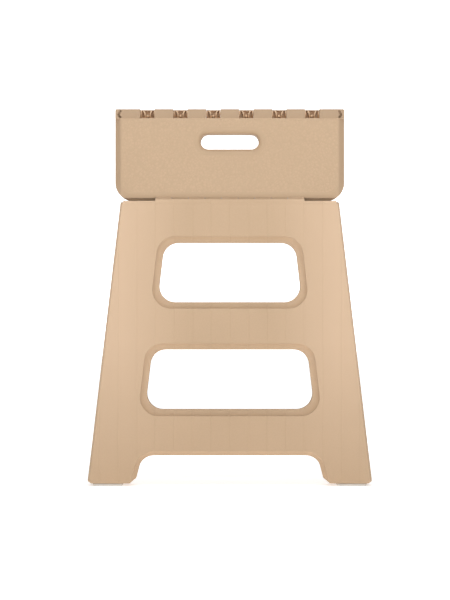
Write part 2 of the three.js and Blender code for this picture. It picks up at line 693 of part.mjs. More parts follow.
// One half of the stool. Turned is +1 for the front half and -1 for the back half, whose frame
// is turned round, so that its left and right change places.
function stoolHalf(owner, turned) {
  const half = new THREE.Group();
  half.position.y = -turned * HALF_THICKNESS;
  half.rotation.z = turned > 0 ? 0 : Math.PI;
  half.add(node(`${owner}_leg_panel`, legPanel(), plastic()));
  half.add(node(`${owner}_seat_half`, seatHalf(owner), plastic()));

  const pin = rod(`${owner}_seat_hinge_pin`, PIN_RADIUS, 2 * HINGE_ZONE);
  pin.rotation.z = Math.PI / 2;
  pin.position.set(0, HINGE_DEPTH, SEAT_HINGE_HEIGHT);
  half.add(pin);

  for (const side of [-1, 1]) {
    const hand = side * turned > 0 ? 'right' : 'left';
    half.add(node(`${hand}_${owner}_foot_pad`, footPad(side), rubber()));
    const group = sideGroup(side);
    group.add(node(`${hand}_${owner}_side_panel`, sidePanel(side, owner), plastic()));
    const sideRod = rod(`${hand}_${owner}_side_hinge_rod`, PIN_RADIUS, ROD_END - ROD_START);
    sideRod.rotation.x = Math.PI / 2;
    sideRod.position.z = (ROD_START + ROD_END) / 2;
    group.add(sideRod);
    half.add(group);
    if (owner === 'back') {
      SIDE_BARS.forEach(([low, high], index) => {
        const level = ['lower', 'middle', 'upper'][index];
        const middlePin = rod(`${hand}_${level}_fold_pin`, PIN_RADIUS, high - low - 1);
        middlePin.rotation.x = Math.PI / 2;
        middlePin.position.set(-side * ARM, HALF_THICKNESS - HINGE_DEPTH, (low + high) / 2);
        group.add(middlePin);
      });
    }
  }
  return half;
}

const stool = new THREE.Group();
stool.add(stoolHalf('front', 1), stoolHalf('back', -1));

export default stool;
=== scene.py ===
"""Folding step stool in matte beige plastic, folded flat and standing on its feet.

The stool is two like halves. Each half is modelled in its own frame, in millimetres: x across,
y the depth measured inwards from its outer face and z the height. It is then scaled to metres
and moved to the front face, or turned half a turn about Z and moved to the back face.
"""

import math

import bmesh
import bpy
from mathutils import Matrix, Vector, noise


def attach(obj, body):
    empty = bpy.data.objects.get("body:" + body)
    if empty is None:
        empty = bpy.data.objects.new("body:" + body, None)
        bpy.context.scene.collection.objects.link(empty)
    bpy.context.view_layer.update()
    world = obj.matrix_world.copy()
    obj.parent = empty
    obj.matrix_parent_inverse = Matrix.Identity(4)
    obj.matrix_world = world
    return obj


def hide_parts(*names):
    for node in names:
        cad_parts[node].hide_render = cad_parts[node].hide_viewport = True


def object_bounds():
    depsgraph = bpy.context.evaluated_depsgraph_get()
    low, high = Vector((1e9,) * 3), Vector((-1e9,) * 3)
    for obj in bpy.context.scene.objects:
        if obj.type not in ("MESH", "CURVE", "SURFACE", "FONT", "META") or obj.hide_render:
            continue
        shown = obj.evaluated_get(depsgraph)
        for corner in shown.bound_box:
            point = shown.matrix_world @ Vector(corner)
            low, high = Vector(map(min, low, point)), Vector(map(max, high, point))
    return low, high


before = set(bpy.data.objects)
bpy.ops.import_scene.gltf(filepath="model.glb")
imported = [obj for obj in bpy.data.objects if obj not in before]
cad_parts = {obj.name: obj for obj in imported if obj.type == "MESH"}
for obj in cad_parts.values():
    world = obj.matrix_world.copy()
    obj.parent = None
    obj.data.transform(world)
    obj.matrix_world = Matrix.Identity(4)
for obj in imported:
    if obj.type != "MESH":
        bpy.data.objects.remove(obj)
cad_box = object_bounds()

MM = 0.001

# ------------------------ sizes in millimetres

HALF_THICKNESS = (cad_box[1][1] - cad_box[0][1]) / MM / 2
CORNER_STEPS = 10
FILLET_STEPS = 4
ROUND_SIDES = 32

LEG_HALF_AT_FLOOR = 199.3
LEG_TAPER = 0.1182
LEG_TOP = 396.2
LEG_DEPTH = 15.7
LEG_SKIN = 2.6
LEG_BEVEL = 2.6
LEG_BEVEL_DEPTH = 5.4
WALL = 3
RIB = 2.2
SINK_PITCH = 26
LEG_RIB_LEVELS = (70, 223)
CHANNEL = {"outer": -14, "inner": 13, "near": -4.4}

FOOT_BOTTOM = 3.2
FOOT_HALF = 194
FOOT_CHAMFER_TOP = 6.5
FOOT_BEVEL_EASE = 0.85
FOOT_CORNER = [(128, -2), (141, -2), (140.5, 2.8), (132, 9.8), (128, 9.8)]
ARCH_TOP = 42.4
ARCH_HALF_AT_TOP = 122.7
ARCH_FLARE = 0.264
ARCH_RADIUS = 22
ARCH_RIM = 5.5
ARCH_RIM_DEPTH = 7

WINDOW_RADIUS = 26
WINDOW_ROUNDING = 0.45
WINDOW_RIM = 8.5
WINDOW_RIM_DEPTH = 10
UPPER_WINDOW = {"bottom": 247.6, "top": 347.9, "half": 111.2}
LOWER_WINDOW = {"bottom": 97.6, "top": 198.6, "half": 128.4}

PAD = {"inner": 149.4, "outer": 191, "near": 1.6, "far": 14.2, "top": 3.1}
PAD_PEG = {"radius": 2.4, "top": 8.5, "spread": 10}

HINGE_DEPTH = 7
SEAT_HINGE_HEIGHT = 401
CENTRE_HINGE_HEIGHT = 520.5
SIDE_HINGE_INSET = 17
ARM = CENTRE_HINGE_HEIGHT - SEAT_HINGE_HEIGHT

PIN_RADIUS = 1.8
BORE_RADIUS = 2.35
KNUCKLE_RADIUS = 4.2
HINGE_ZONE = 104
KNUCKLE_PITCH = 2 * HINGE_ZONE / 9
KNUCKLE_WIDTH = KNUCKLE_PITCH - 0.6
KNUCKLE_CLEAR_RADIUS = 4.7
LIP_TOP = 400.3
END_LIP_TOP = 397.5
LIP_RECESS = 0.35
COVE_RADIUS = 7.1

SEAT_HALF = 159.7
SEAT_BOTTOM = 398.2
SEAT_TIP = 525.5
SEAT_DEPTH = 20.9
SEAT_SKIN = 3
SEAT_WALL = 2.5
SEAT_RADIUS = 24
SEAT_BEVEL_SIDE = 7.3
SEAT_BEVEL_BOTTOM = 9.2
SEAT_BEVEL_DEPTH = 5.5
SEAT_HINGE_EDGE = 401.5
SEAT_RIB_LEVELS = (411, 440)
SEAT_RIB_PLACES = (18, 54, 92, 130.9)
SKIRT_DEPTH = 8.5
SEAT_SHALLOW_TOP = 410.7
SEAT_SHALLOW_DEPTH = 11.6
SEAT_SHALLOW_HALF = 156
RIBBED_HALF = 132
CORNER_DEPTH = 14.5
SLOT = {"height": 480.4, "half": 48, "tall": 18.2, "rim": 7.5, "rim_depth": 8}

FINGER_PITCH = 46
FINGER_GAP = 0.2
FRONT_FINGER_HALF = 13
BACK_FINGER_HALF = FINGER_PITCH / 2 - FRONT_FINGER_HALF - FINGER_GAP
POCKET_FLOOR = 513
END_WALL = 2.5
CHEEK = 1.5
CHEEK_RADIUS = 6.4
PEG_RADIUS = 2
PEG_HOLE_RADIUS = 2.6
FINGER_FLOOR = (15.8, 17.2)
FINGER_ROOF = 4.2
FINGER_RECESS = 0.6
FINGER_LEAN = 1.1
FINGER_ROUND = 1.6
WEB = {"radius": 14, "outside": 7.6, "height": 516.8, "spread": 46, "thick": 1.9}
POST = {"radius": 1.8, "height": 517.2}
CORNER = {"inner": 125, "outer": 159.6, "bottom": 512.4, "edge": 1.3, "radius": 2.2}
CORNER_SLOT = {"middle": (155.2, 517.4), "ends": [(151.6, 523.8), (151.8, 513)], "half": 1.6}

TREAD_RECESS = 0.5
TREAD_RELIEF = 0.4
TREAD_STEP = 1.05
TREAD_CELL = 3.8

SIDE_PLATE_NEAR = 9.2
SIDE_PLATE_FAR = 14.2
SIDE_PLATE_START = 9.3
SIDE_PLATE_END = 119.2
SIDE_PLATE_NOTCH = 113.9
STILE_END = 50
SIDE_BOTTOM = 9
SIDE_TOP = 394
SIDE_CORNER = [(-40.5, 8), (-51, 8), (-51, 21.5)]
SIDE_BARS = [(60, 104), (207.5, 255.5), (362, SIDE_TOP)]
SIDE_RECESS = 2.8
SIDE_BORDER = 3
SIDE_KNUCKLE_RADIUS = 3.9
SIDE_KNUCKLE_LENGTH = 24
SIDE_KNUCKLE_HEIGHTS = [45, 150, 255, 360]
MIDDLE_KNUCKLE_RADIUS = 5
ROD_START = 24
ROD_END = 384

LEAN = math.atan(LEG_TAPER)
SIDE_HINGE_AT_FLOOR = LEG_HALF_AT_FLOOR - SIDE_HINGE_INSET / math.cos(LEAN)


# ------------------------ outlines

# A corner is (a, b, radius). A closed outline is a convex list of corners, counterclockwise.


def rounded(corners, closed, steps):
    """The points of a line through corners, each rounded by its radius."""
    points = []
    count = len(corners)
    for index, (a, b, radius) in enumerate(corners):
        here = Vector((a, b))
        if not closed and index in (0, count - 1):
            points.append(here)
            continue
        back = (Vector(corners[index - 1][:2]) - here).normalized()
        ahead = (Vector(corners[(index + 1) % count][:2]) - here).normalized()
        half_angle = back.angle(ahead) / 2
        centre = here + (back + ahead).normalized() * (radius / math.sin(half_angle))
        start = here + back * (radius / math.tan(half_angle)) - centre
        end = here + ahead * (radius / math.tan(half_angle)) - centre
        turn = math.atan2(start.cross(end), start.dot(end)) if radius > 0 else 0
        for step in range(steps + 1):
            points.append(centre + Matrix.Rotation(turn * step / steps, 2) @ start)
    return points


def inset(corners, distance):
    """The same closed outline moved inwards, or outwards by a negative distance."""
    moved = []
    for index, (a, b, radius) in enumerate(corners):
        here = Vector((a, b))
        back = (Vector(corners[index - 1][:2]) - here).normalized()
        ahead = (Vector(corners[(index + 1) % len(corners)][:2]) - here).normalized()
        half_angle = back.angle(ahead) / 2
        corner = here + (back + ahead).normalized() * (distance / math.sin(half_angle))
        moved.append((corner.x, corner.y, max(radius - distance, 0)))
    return moved


def symmetrical(right_corners):
    """Corners mirrored to make an outline that is symmetrical about x = 0."""
    return right_corners + [(-x, z, radius) for x, z, radius in reversed(right_corners)]


def rectangle(x0, x1, z0, z1, radius=0):
    return [(x0, z0, radius), (x1, z0, radius), (x1, z1, radius), (x0, z1, radius)]


def circle(radius, a=0, b=0, sides=ROUND_SIDES):
    angles = [2 * math.pi * (side + 0.5) / sides for side in range(sides)]
    return [(a + radius * math.cos(angle), b + radius * math.sin(angle)) for angle in angles]


# ------------------------ solids


def in_scene(name, data):
    """A new object of a mesh, lamp or camera, linked to the scene."""
    thing = bpy.data.objects.new(name, data)
    bpy.context.scene.collection.objects.link(thing)
    return thing


def mesh_of(shape, name="solid"):
    mesh = bpy.data.meshes.new(name)
    shape.to_mesh(mesh)
    shape.free()
    return mesh


class Solid:
    """A closed mesh in millimetres that can be joined to, cut by or kept inside another."""

    def __init__(self, mesh):
        self.mesh = mesh

    def combined(self, other, operation):
        base, tool = in_scene("solid", self.mesh), in_scene("solid", other.mesh)
        modifier = base.modifiers.new("combine", "BOOLEAN")
        modifier.operation = operation
        modifier.solver = "MANIFOLD"
        modifier.object = tool
        depsgraph = bpy.context.evaluated_depsgraph_get()
        mesh = bpy.data.meshes.new_from_object(base.evaluated_get(depsgraph))
        bpy.data.objects.remove(base)
        bpy.data.objects.remove(tool)
        return Solid(mesh)

    def __add__(self, other):
        return self.combined(other, "UNION")

    def __sub__(self, other):
        return self.combined(other, "DIFFERENCE")

    def __and__(self, other):
        return self.combined(other, "INTERSECT")

    def moved(self, matrix):
        mesh = self.mesh.copy()
        mesh.transform(matrix)
        if matrix.determinant() < 0:
            mesh.flip_normals()
        return Solid(mesh)


def joined(solids):
    first, *others = solids
    return sum(others, first)


def closed(shape):
    """The solid of a bmesh whose faces close it, with all of them turned outwards."""
    bmesh.ops.recalc_face_normals(shape, faces=shape.faces)
    return Solid(mesh_of(shape))


def skin(rings):
    """A closed solid through matching rings of points."""
    shape = bmesh.new()
    loops = [[shape.verts.new(point) for point in ring] for ring in rings]
    for near, far in zip(loops, loops[1:]):
        for index, corner in enumerate(near):
            after = (index + 1) % len(near)
            shape.faces.new((corner, near[after], far[after], far[index]))
    shape.faces.new(loops[0])
    shape.faces.new(loops[-1])
    bmesh.ops.remove_doubles(shape, verts=shape.verts, dist=1e-4)
    return closed(shape)


def loft(*sections):
    """The solid through outlines that each stand at a depth: (corners, depth)."""
    return skin([
        [(x, depth, z) for x, z in rounded(corners, True, CORNER_STEPS)]
        for corners, depth in sections
    ])


def shell(corners, profile):
    """An outline carried along a profile of (inset, depth) points."""
    return loft(*[(inset(corners, distance), depth) for distance, depth in profile])


def soft_edge(bevel, depth, far, radius):
    """The profile of a bevelled edge with both its corners rounded."""
    corners = [(bevel + radius, 0, 0), (bevel, 0, radius), (0, depth, radius), (0, far, 0)]
    return [tuple(point) for point in rounded(corners, False, FILLET_STEPS)]


def lip(radius):
    """The profile that widens a hole into a rounded edge at the outer face."""
    angles = [math.pi / 2 * (step + 0.5) / FILLET_STEPS for step in range(FILLET_STEPS)]
    curve = [(radius * (math.sin(angle) - 1), radius * (1 - math.cos(angle))) for angle in angles]
    return [(-radius, -1), (curve[0][0], -0.02)] + curve[1:]


def box(x, y, z):
    (x0, x1), (y0, y1), (z0, z1) = sorted(x), y, z
    corners = rectangle(x0, x1, z0, z1)
    return skin([[(a, depth, b) for a, b, _ in corners] for depth in (y0, y1)])


def barrel(radius, start, end, chamfer=0):
    """Radii along a round bar, with its two ends chamfered."""
    if not chamfer:
        return [(radius, start), (radius, end)]
    slim = radius - chamfer
    return [(slim, start), (radius, start + chamfer), (radius, end - chamfer), (slim, end)]


def bar_x(radius, x0, x1, y, z, chamfer=0):
    return skin([[(x, a, b) for a, b in circle(r, y, z)] for r, x in barrel(radius, x0, x1, chamfer)])


def bar_y(radius, x, y0, y1, z, chamfer=0):
    return skin([[(a, y, b) for a, b in circle(r, x, z)] for r, y in barrel(radius, y0, y1, chamfer)])


def bar_z(radius, x, y, z0, z1, chamfer=0):
    return skin([[(a, b, z) for a, b in circle(r, x, y)] for r, z in barrel(radius, z0, z1, chamfer)])


def extruded_x(points, x0, x1):
    """A (y, z) section given length from x0 to x1."""
    return skin([[(x, y, z) for y, z in points] for x in (x0, x1)])


def extruded_y(points, y0, y1):
    """An (x, z) section given depth from y0 to y1."""
    return skin([[(x, y, z) for x, z in points] for y in (y0, y1)])


# ------------------------ leg panel


def leg_half(height):
    return LEG_HALF_AT_FLOOR - LEG_TAPER * height


LEG_OUTLINE = symmetrical([
    (FOOT_HALF, FOOT_BOTTOM, 1.5),
    (leg_half(FOOT_CHAMFER_TOP), FOOT_CHAMFER_TOP, 3),
    (leg_half(LEG_TOP), LEG_TOP, 1.5),
])

ARCH_OUTLINE = symmetrical([
    (ARCH_HALF_AT_TOP + ARCH_FLARE * (ARCH_TOP + 5), -5, 0),
    (ARCH_HALF_AT_TOP, ARCH_TOP, ARCH_RADIUS),
])


def window_outline(window):
    half_at_top = window["half"] - LEG_TAPER * (window["top"] - window["bottom"])
    return symmetrical([
        (window["half"], window["bottom"], WINDOW_RADIUS),
        (half_at_top, window["top"], WINDOW_RADIUS),
    ])


def cove(rim, depth, start=0.7):
    """The profile of a rim that drops steeply from the face and then levels out."""
    points = []
    for step in range(1, 7):
        angle = math.pi / 2 * step / 6
        points.append((rim * (1 - math.cos(angle)), start + (depth - start) * math.sin(angle)))
    return points


def window_shell(outline, profile):
    """A shell whose corners tighten less than they are drawn in."""
    sections = []
    for distance, depth in profile:
        radius = WINDOW_RADIUS - WINDOW_ROUNDING * distance
        sections.append(([(x, z, radius) for x, z, _ in inset(outline, distance)], depth))
    return loft(*sections)


def window_hole(outline):
    """A hole with a rounded lip that curves in to a narrower inner edge."""
    edge = [(WINDOW_RIM + 0.15, WINDOW_RIM_DEPTH + 0.6), (WINDOW_RIM + 0.3, LEG_DEPTH + 1)]
    return window_shell(outline, lip(0.7) + cove(WINDOW_RIM, WINDOW_RIM_DEPTH) + edge)


def arch_hole():
    """The arch between the feet, rimmed as the windows are."""
    profile = lip(0.7) + cove(ARCH_RIM, ARCH_RIM_DEPTH) + [(ARCH_RIM, LEG_DEPTH + 1)]
    return shell(ARCH_OUTLINE, [(distance - ARCH_RIM, depth) for distance, depth in profile])


def window_wall(outline):
    return window_shell(outline, [
        (-WALL, 1),
        (WINDOW_RIM - WALL, WINDOW_RIM_DEPTH + 1),
        (WINDOW_RIM + 0.3 - WALL, LEG_DEPTH),
    ])


# The side frame has its z axis along the side hinge at positive x.

SIDE_PLACE = Matrix.Translation((SIDE_HINGE_AT_FLOOR, HINGE_DEPTH, 0)) @ Matrix.Rotation(-LEAN, 4, "Y")
MIRROR = Matrix.Scale(-1, 4, (1, 0, 0))


def in_side_frame(solid):
    """Moves a solid from the side frame to the half frame."""
    return solid.moved(SIDE_PLACE)


def on_both_sides(solid):
    return solid + solid.moved(MIRROR)


def side_box(across, depth, up):
    """A box in the side frame, its first span measured towards the middle of the stool."""
    return box([-across[0], -across[1]], depth, up)


def leg_ribs():
    deep = (1, LEG_DEPTH)
    count = int(180 / SINK_PITCH)
    places = [SINK_PITCH * index for index in range(-count, count + 1)]
    ribs = [box((x - RIB / 2, x + RIB / 2), deep, (ARCH_TOP, LEG_TOP - 1)) for x in places]
    for height in LEG_RIB_LEVELS:
        ribs.append(box((-180, 180), deep, (height - RIB / 2, height + RIB / 2)))
    return joined(ribs)


def channel_space():
    """The room that a side hinge and its panel turn in, kept free of ribs."""
    across = (CHANNEL["outer"], CHANNEL["inner"])
    return on_both_sides(in_side_frame(side_box(across, (CHANNEL["near"], 20), (-20, 420))))


def channel_walls():
    """The inner wall of the channel that a side hinge runs in, and its rod brackets."""
    outer, inner, near = CHANNEL["outer"] - 0.5, CHANNEL["inner"], CHANNEL["near"] - 0.6
    walls = [side_box((inner, inner + RIB), (near, LEG_DEPTH - HINGE_DEPTH), (0, 400))]
    clear = SIDE_KNUCKLE_LENGTH / 2 + 0.5
    starts = [height - clear - WALL for height in SIDE_KNUCKLE_HEIGHTS]
    for start in starts + [SIDE_KNUCKLE_HEIGHTS[-1] + clear]:
        walls.append(side_box((outer, inner + 0.5), (near, 4.2), (start, start + WALL)))
    return on_both_sides(in_side_frame(joined(walls)))


def rod_bore():
    return in_side_frame(bar_z(BORE_RADIUS, 0, 0, SIDE_KNUCKLE_HEIGHTS[0] - 25, ROD_END + 0.5))


def seat_hinge_bore():
    return bar_x(BORE_RADIUS, -HINGE_ZONE - 0.3, HINGE_ZONE + 0.3, HINGE_DEPTH, SEAT_HINGE_HEIGHT)


def knuckle(x, near, foot, head):
    """One knuckle of the seat hinge, on two gusset plates that reach from foot to head."""
    x0, x1 = x - KNUCKLE_WIDTH / 2, x + KNUCKLE_WIDTH / 2
    whole = bar_x(KNUCKLE_RADIUS, x0, x1, HINGE_DEPTH, SEAT_HINGE_HEIGHT, 0.4)
    for start in (x0 + 0.4, x1 - RIB - 0.4):
        whole = whole + box((start, start + RIB), (near, HINGE_DEPTH + KNUCKLE_RADIUS), (foot, head))
    return whole


def leg_knuckles():
    foot = LEG_TOP - 2.4
    section = [(LIP_RECESS, foot, 0), (2, foot, 0), (2, LIP_TOP, 0.5), (LIP_RECESS, LIP_TOP, 0.9)]
    lip_plate = extruded_x(rounded(section, True, FILLET_STEPS), -HINGE_ZONE, HINGE_ZONE)
    end = leg_half(END_LIP_TOP) - LEG_BEVEL - 1
    end_lip = box((-end, end), (LIP_RECESS, 2), (LEG_TOP - 3, END_LIP_TOP))
    knuckles = [
        knuckle(step * KNUCKLE_PITCH, 1.5, LEG_TOP - 1, SEAT_HINGE_HEIGHT - 0.5)
        for step in (-4, -2, 0, 2, 4)
    ]
    return joined([lip_plate, end_lip] + knuckles)


def pad_peg_places():
    middle = (PAD["inner"] + PAD["outer"]) / 2
    return [middle - PAD_PEG["spread"], middle + PAD_PEG["spread"]]


def foot_cuts():
    """The chamfer at the inner corner of a foot and the holes for its pad's pegs."""
    cuts = [extruded_y(FOOT_CORNER, -1, LEG_DEPTH + 1)]
    middle = (PAD["near"] + PAD["far"]) / 2
    for x in pad_peg_places():
        cuts.append(bar_z(PAD_PEG["radius"] + 0.6, x, middle, FOOT_BOTTOM - 2, FOOT_BOTTOM + 4))
    return on_both_sides(joined(cuts))


def leg_outer():
    """The leg panel's outer shape, its bevel smaller along the floor than elsewhere."""
    sections = []
    for drawn_in, depth in soft_edge(LEG_BEVEL, LEG_BEVEL_DEPTH, LEG_DEPTH, 0.7):
        corners = inset(LEG_OUTLINE, drawn_in)
        for index in (0, -1):
            x, z, radius = corners[index]
            corners[index] = (x, z - FOOT_BEVEL_EASE * drawn_in, radius)
        sections.append((corners, depth))
    return loft(*sections)


def leg_panel():
    """A leg panel with its windows, arch, ribs, hinge knuckles and side hinge channels."""
    outer = leg_outer()
    hollow = shell(inset(LEG_OUTLINE, WALL), [(0, LEG_SKIN), (0, LEG_DEPTH + 1)])
    windows = [window_outline(window) for window in (UPPER_WINDOW, LOWER_WINDOW)]
    arch_wall = shell(ARCH_OUTLINE, [
        (-ARCH_RIM - WALL, 1), (-WALL, ARCH_RIM_DEPTH + 1), (-WALL, LEG_DEPTH),
    ])
    walls = [channel_walls(), arch_wall] + [window_wall(outline) for outline in windows]
    inside = joined([leg_ribs() - channel_space()] + walls) & outer
    panel = (outer - hollow) + inside + leg_knuckles()
    end_cove = bar_x(COVE_RADIUS, HINGE_ZONE, 170, HINGE_DEPTH, SEAT_HINGE_HEIGHT)
    cuts = [arch_hole()] + [window_hole(outline) for outline in windows]
    cuts += [on_both_sides(end_cove), on_both_sides(rod_bore()), seat_hinge_bore(), foot_cuts()]
    for cut in cuts:
        panel = panel - cut
    return panel


# ------------------------ foot pad


def foot_pad():
    """A rubber pad with a grooved sole and two pegs, on the side at positive x."""
    inner, outer, near, far, top = (PAD[key] for key in ("inner", "outer", "near", "far", "top"))
    edge = [(0.9, 0), (0.25, 0.35), (0, 1), (0, top)]
    base = [(inner, near, 1.6), (outer, near, 1.6), (outer, far, 1.6), (inner, far, 1.6)]
    pad = skin([
        [(x, y, z) for x, y in rounded(inset(base, distance), True, FILLET_STEPS)]
        for distance, z in edge
    ])
    for groove in range(5):
        x = inner + 6.4 + groove * 6
        pad = pad - box((x - 0.6, x + 0.6), (near + 2, far - 2), (-1, 0.7))
    for x in pad_peg_places():
        pad = pad + bar_z(PAD_PEG["radius"], x, (near + far) / 2, top - 1, PAD_PEG["top"], 0.6)
    return pad


# ------------------------ seat half


def seat_outline(drawn_in, tip=0):
    """The seat half's outline, drawn in along its bevel, which is a little lower at the bottom."""
    half = SEAT_HALF - drawn_in
    bottom = SEAT_BOTTOM + drawn_in * SEAT_BEVEL_BOTTOM / SEAT_BEVEL_SIDE
    radius = max(SEAT_RADIUS - drawn_in, 1)
    return symmetrical([(half, bottom, radius), (half, SEAT_TIP - tip, 0)])


def seat_outer():
    sections = []
    for drawn_in, depth in soft_edge(SEAT_BEVEL_SIDE, SEAT_BEVEL_DEPTH, SEAT_DEPTH, 1.1):
        sections.append((seat_outline(drawn_in), max(depth, TREAD_RECESS)))
    return loft(*sections)


def seat_hollow():
    tip = SEAT_TIP - POCKET_FLOOR + END_WALL
    wide = seat_outline(SEAT_WALL, tip)
    narrow = seat_outline(SEAT_BEVEL_SIDE + SEAT_WALL, tip)
    return loft((narrow, SEAT_SKIN), (wide, SEAT_BEVEL_DEPTH + SEAT_WALL), (wide, SEAT_DEPTH + 1))


SLOT_OUTLINE = symmetrical([
    (SLOT["half"], SLOT["height"] - SLOT["tall"], SLOT["tall"] - 0.1),
    (SLOT["half"], SLOT["height"] + SLOT["tall"], SLOT["tall"] - 0.1),
])


def slot_hole():
    """The hand slot, with a rim that rolls in from the tread."""
    rim, deep = SLOT["rim"], SLOT["rim_depth"]
    roll = []
    for step in range(1, 9):
        angle = math.pi / 2 * step / 8
        roll.append((rim * math.sin(angle), TREAD_RECESS + deep * (1 - math.cos(angle))))
    mouth = [(-0.3, -1), (-0.3, TREAD_RECESS - 0.05)]
    return shell(SLOT_OUTLINE, mouth + roll + [(rim, SEAT_DEPTH + 1)])


def seat_ribs():
    deep = (2, SEAT_DEPTH)
    ribs = [box((-RIBBED_HALF, RIBBED_HALF), deep, (z, z + RIB)) for z in SEAT_RIB_LEVELS]
    for place in SEAT_RIB_PLACES:
        for x in (-place, place):
            ribs.append(box((x - RIB / 2, x + RIB / 2), deep, (SEAT_RIB_LEVELS[0], POCKET_FLOOR - 1)))
    drawn_in = SLOT["rim"] - SEAT_WALL
    return joined(ribs + [shell(SLOT_OUTLINE, [(drawn_in, 1), (drawn_in, SEAT_DEPTH)])])


def leg_clearance():
    """Room in the seat half for the leg panel, its lip and its knuckles."""
    reach = HINGE_ZONE + 0.4
    clear = box((-reach, reach), (-1, 30), (380, SEAT_HINGE_EDGE))
    clear = clear + box((-170, 170), (-2, SKIRT_DEPTH), (380, SEAT_HINGE_EDGE))
    shallow = (-SEAT_SHALLOW_HALF, SEAT_SHALLOW_HALF)
    clear = clear + box(shallow, (SEAT_SHALLOW_DEPTH, 30), (380, SEAT_SHALLOW_TOP))
    half = KNUCKLE_WIDTH / 2 + 0.4
    for step in (-4, -2, 0, 2, 4):
        x = step * KNUCKLE_PITCH
        clear = clear + bar_x(KNUCKLE_CLEAR_RADIUS, x - half, x + half, HINGE_DEPTH, SEAT_HINGE_HEIGHT)
    return clear


def seat_knuckles():
    return joined(
        knuckle(step * KNUCKLE_PITCH, 2.4, SEAT_HINGE_HEIGHT, SEAT_SHALLOW_TOP + 1)
        for step in (-3, -1, 1, 3)
    )


def finger_middles(owner):
    if owner == "front":
        return [FINGER_PITCH * step for step in (-2, -1, 0, 1, 2)]
    return [FINGER_PITCH * (step + 0.5) for step in (-3, -2, -1, 0, 1, 2)]


def cheek(x0, x1):
    """The wall along one side of a finger, rounded about the centre hinge line."""
    y, z, radius = HALF_THICKNESS, CENTRE_HINGE_HEIGHT, CHEEK_RADIUS
    points = [(1, POCKET_FLOOR - 2), (y - radius, POCKET_FLOOR - 2)]
    for step in range(13):
        angle = math.radians(22 * step - 160)
        points.append((y + radius * math.cos(angle), min(z + radius * math.sin(angle), SEAT_TIP)))
    return extruded_x(points + [(1, SEAT_TIP)], x0, x1)


def finger_web(x, direction):
    """A springy web inside a finger: a band bowed towards the finger's middle."""
    centre = x - direction * WEB["outside"]
    angles = [math.radians(WEB["spread"] * (step / 6 - 1)) for step in range(13)]
    band = []
    for half_thickness, turns in ((WEB["thick"] / 2, angles), (-WEB["thick"] / 2, angles[::-1])):
        radius = WEB["radius"] + half_thickness
        for angle in turns:
            across = centre + direction * radius * math.cos(angle)
            band.append((across, WEB["height"] + radius * math.sin(angle)))
    return extruded_y(band, 2, HALF_THICKNESS + CHEEK_RADIUS + 1)


def finger_inside(x0, x1):
    """The webs and the post in a finger, kept clear of the other half's end wall."""
    span = (x0 + 0.4, x1 - 0.4)
    room = box(span, (1, SEAT_DEPTH), (POCKET_FLOOR - 2, SEAT_TIP))
    room = room + bar_x(CHEEK_RADIUS + 0.6, *span, HALF_THICKNESS, CENTRE_HINGE_HEIGHT)
    room = room & box(span, (0, 2 * HALF_THICKNESS), (POCKET_FLOOR - 3, SEAT_TIP - 0.4))
    post = bar_y(POST["radius"], (x0 + x1) / 2, 2, HALF_THICKNESS + 5.6, POST["height"], 0.4)
    return joined([finger_web(x0, 1), finger_web(x1, -1), post]) & room


def tip_cut():
    """What is taken away in front of the fingers, which step in, lean back and round over."""
    start, top = POCKET_FLOOR - 0.4, SEAT_TIP
    corners = [
        (-1, start, 0), (FINGER_RECESS, start, 0),
        (FINGER_RECESS + FINGER_LEAN, top, FINGER_ROUND), (FINGER_RECESS + FINGER_LEAN + 6, top, 0),
    ]
    section = [tuple(point) for point in rounded(corners, False, 6)]
    section = section[:-1] + [(FINGER_RECESS + FINGER_LEAN + 2, top + 2), (-1, top + 2)]
    return extruded_x(section, -170, 170)


def corner_block():
    """The outer form of the square end beyond the last pocket, with its edges rounded."""
    inner, outer, foot, edge = CORNER["inner"], CORNER["outer"], CORNER["bottom"] - 1, CORNER["edge"]
    sections = []
    for step in range(FILLET_STEPS + 1):
        angle = math.pi / 2 * step / FILLET_STEPS
        drawn_in, depth = edge * (1 - math.sin(angle)), edge * (1 - math.cos(angle))
        side, low, top_radius = outer - drawn_in, foot + drawn_in, CORNER["radius"] - drawn_in
        corners = [
            (inner, low, 0), (side, low, edge - drawn_in),
            (side, SEAT_TIP, top_radius), (inner, SEAT_TIP, 0),
        ]
        sections.append((corners, max(depth, 0.02)))
    return loft(*sections, (corners, SEAT_DEPTH))


def corner_slot():
    """A slot through the skin that runs from its upper end to its middle and on to its lower end."""
    x0, z0 = CORNER_SLOT["middle"]
    half = CORNER_SLOT["half"]
    slot = bar_y(half, x0, -1, SEAT_SKIN + 1, z0)
    for x1, z1 in CORNER_SLOT["ends"]:
        a, b = Vector((z1 - z0, x0 - x1)).normalized() * half
        arm = [(x0 + a, z0 + b), (x1 + a, z1 + b), (x1 - a, z1 - b), (x0 - a, z0 - b)]
        slot = slot + extruded_y(arm, -1, SEAT_SKIN + 1)
    return slot


def corner_piece():
    """The square end beyond the last pocket, hollow and with a bent slot, at positive x."""
    inner, outer, foot = CORNER["inner"], CORNER["outer"], POCKET_FLOOR - 5
    block, top = corner_block(), SEAT_TIP + 1
    hollow = box((inner + CHEEK, outer - SEAT_WALL), (SEAT_SKIN, SEAT_DEPTH + 1), (foot, top))
    lower = box((inner - 1, outer + 1), (CORNER_DEPTH, 30), (foot - 8, top))
    wall = block & box((outer - SEAT_WALL, outer + 1), (2, SEAT_DEPTH + 1), (foot, top))
    backing = box((outer - 14, outer - 1), (9, 10.5), (POCKET_FLOOR - 2, SEAT_TIP - 0.5))
    front = (block - hollow) - lower
    return joined([front, cheek(inner, inner + CHEEK), wall, backing]) - corner_slot()


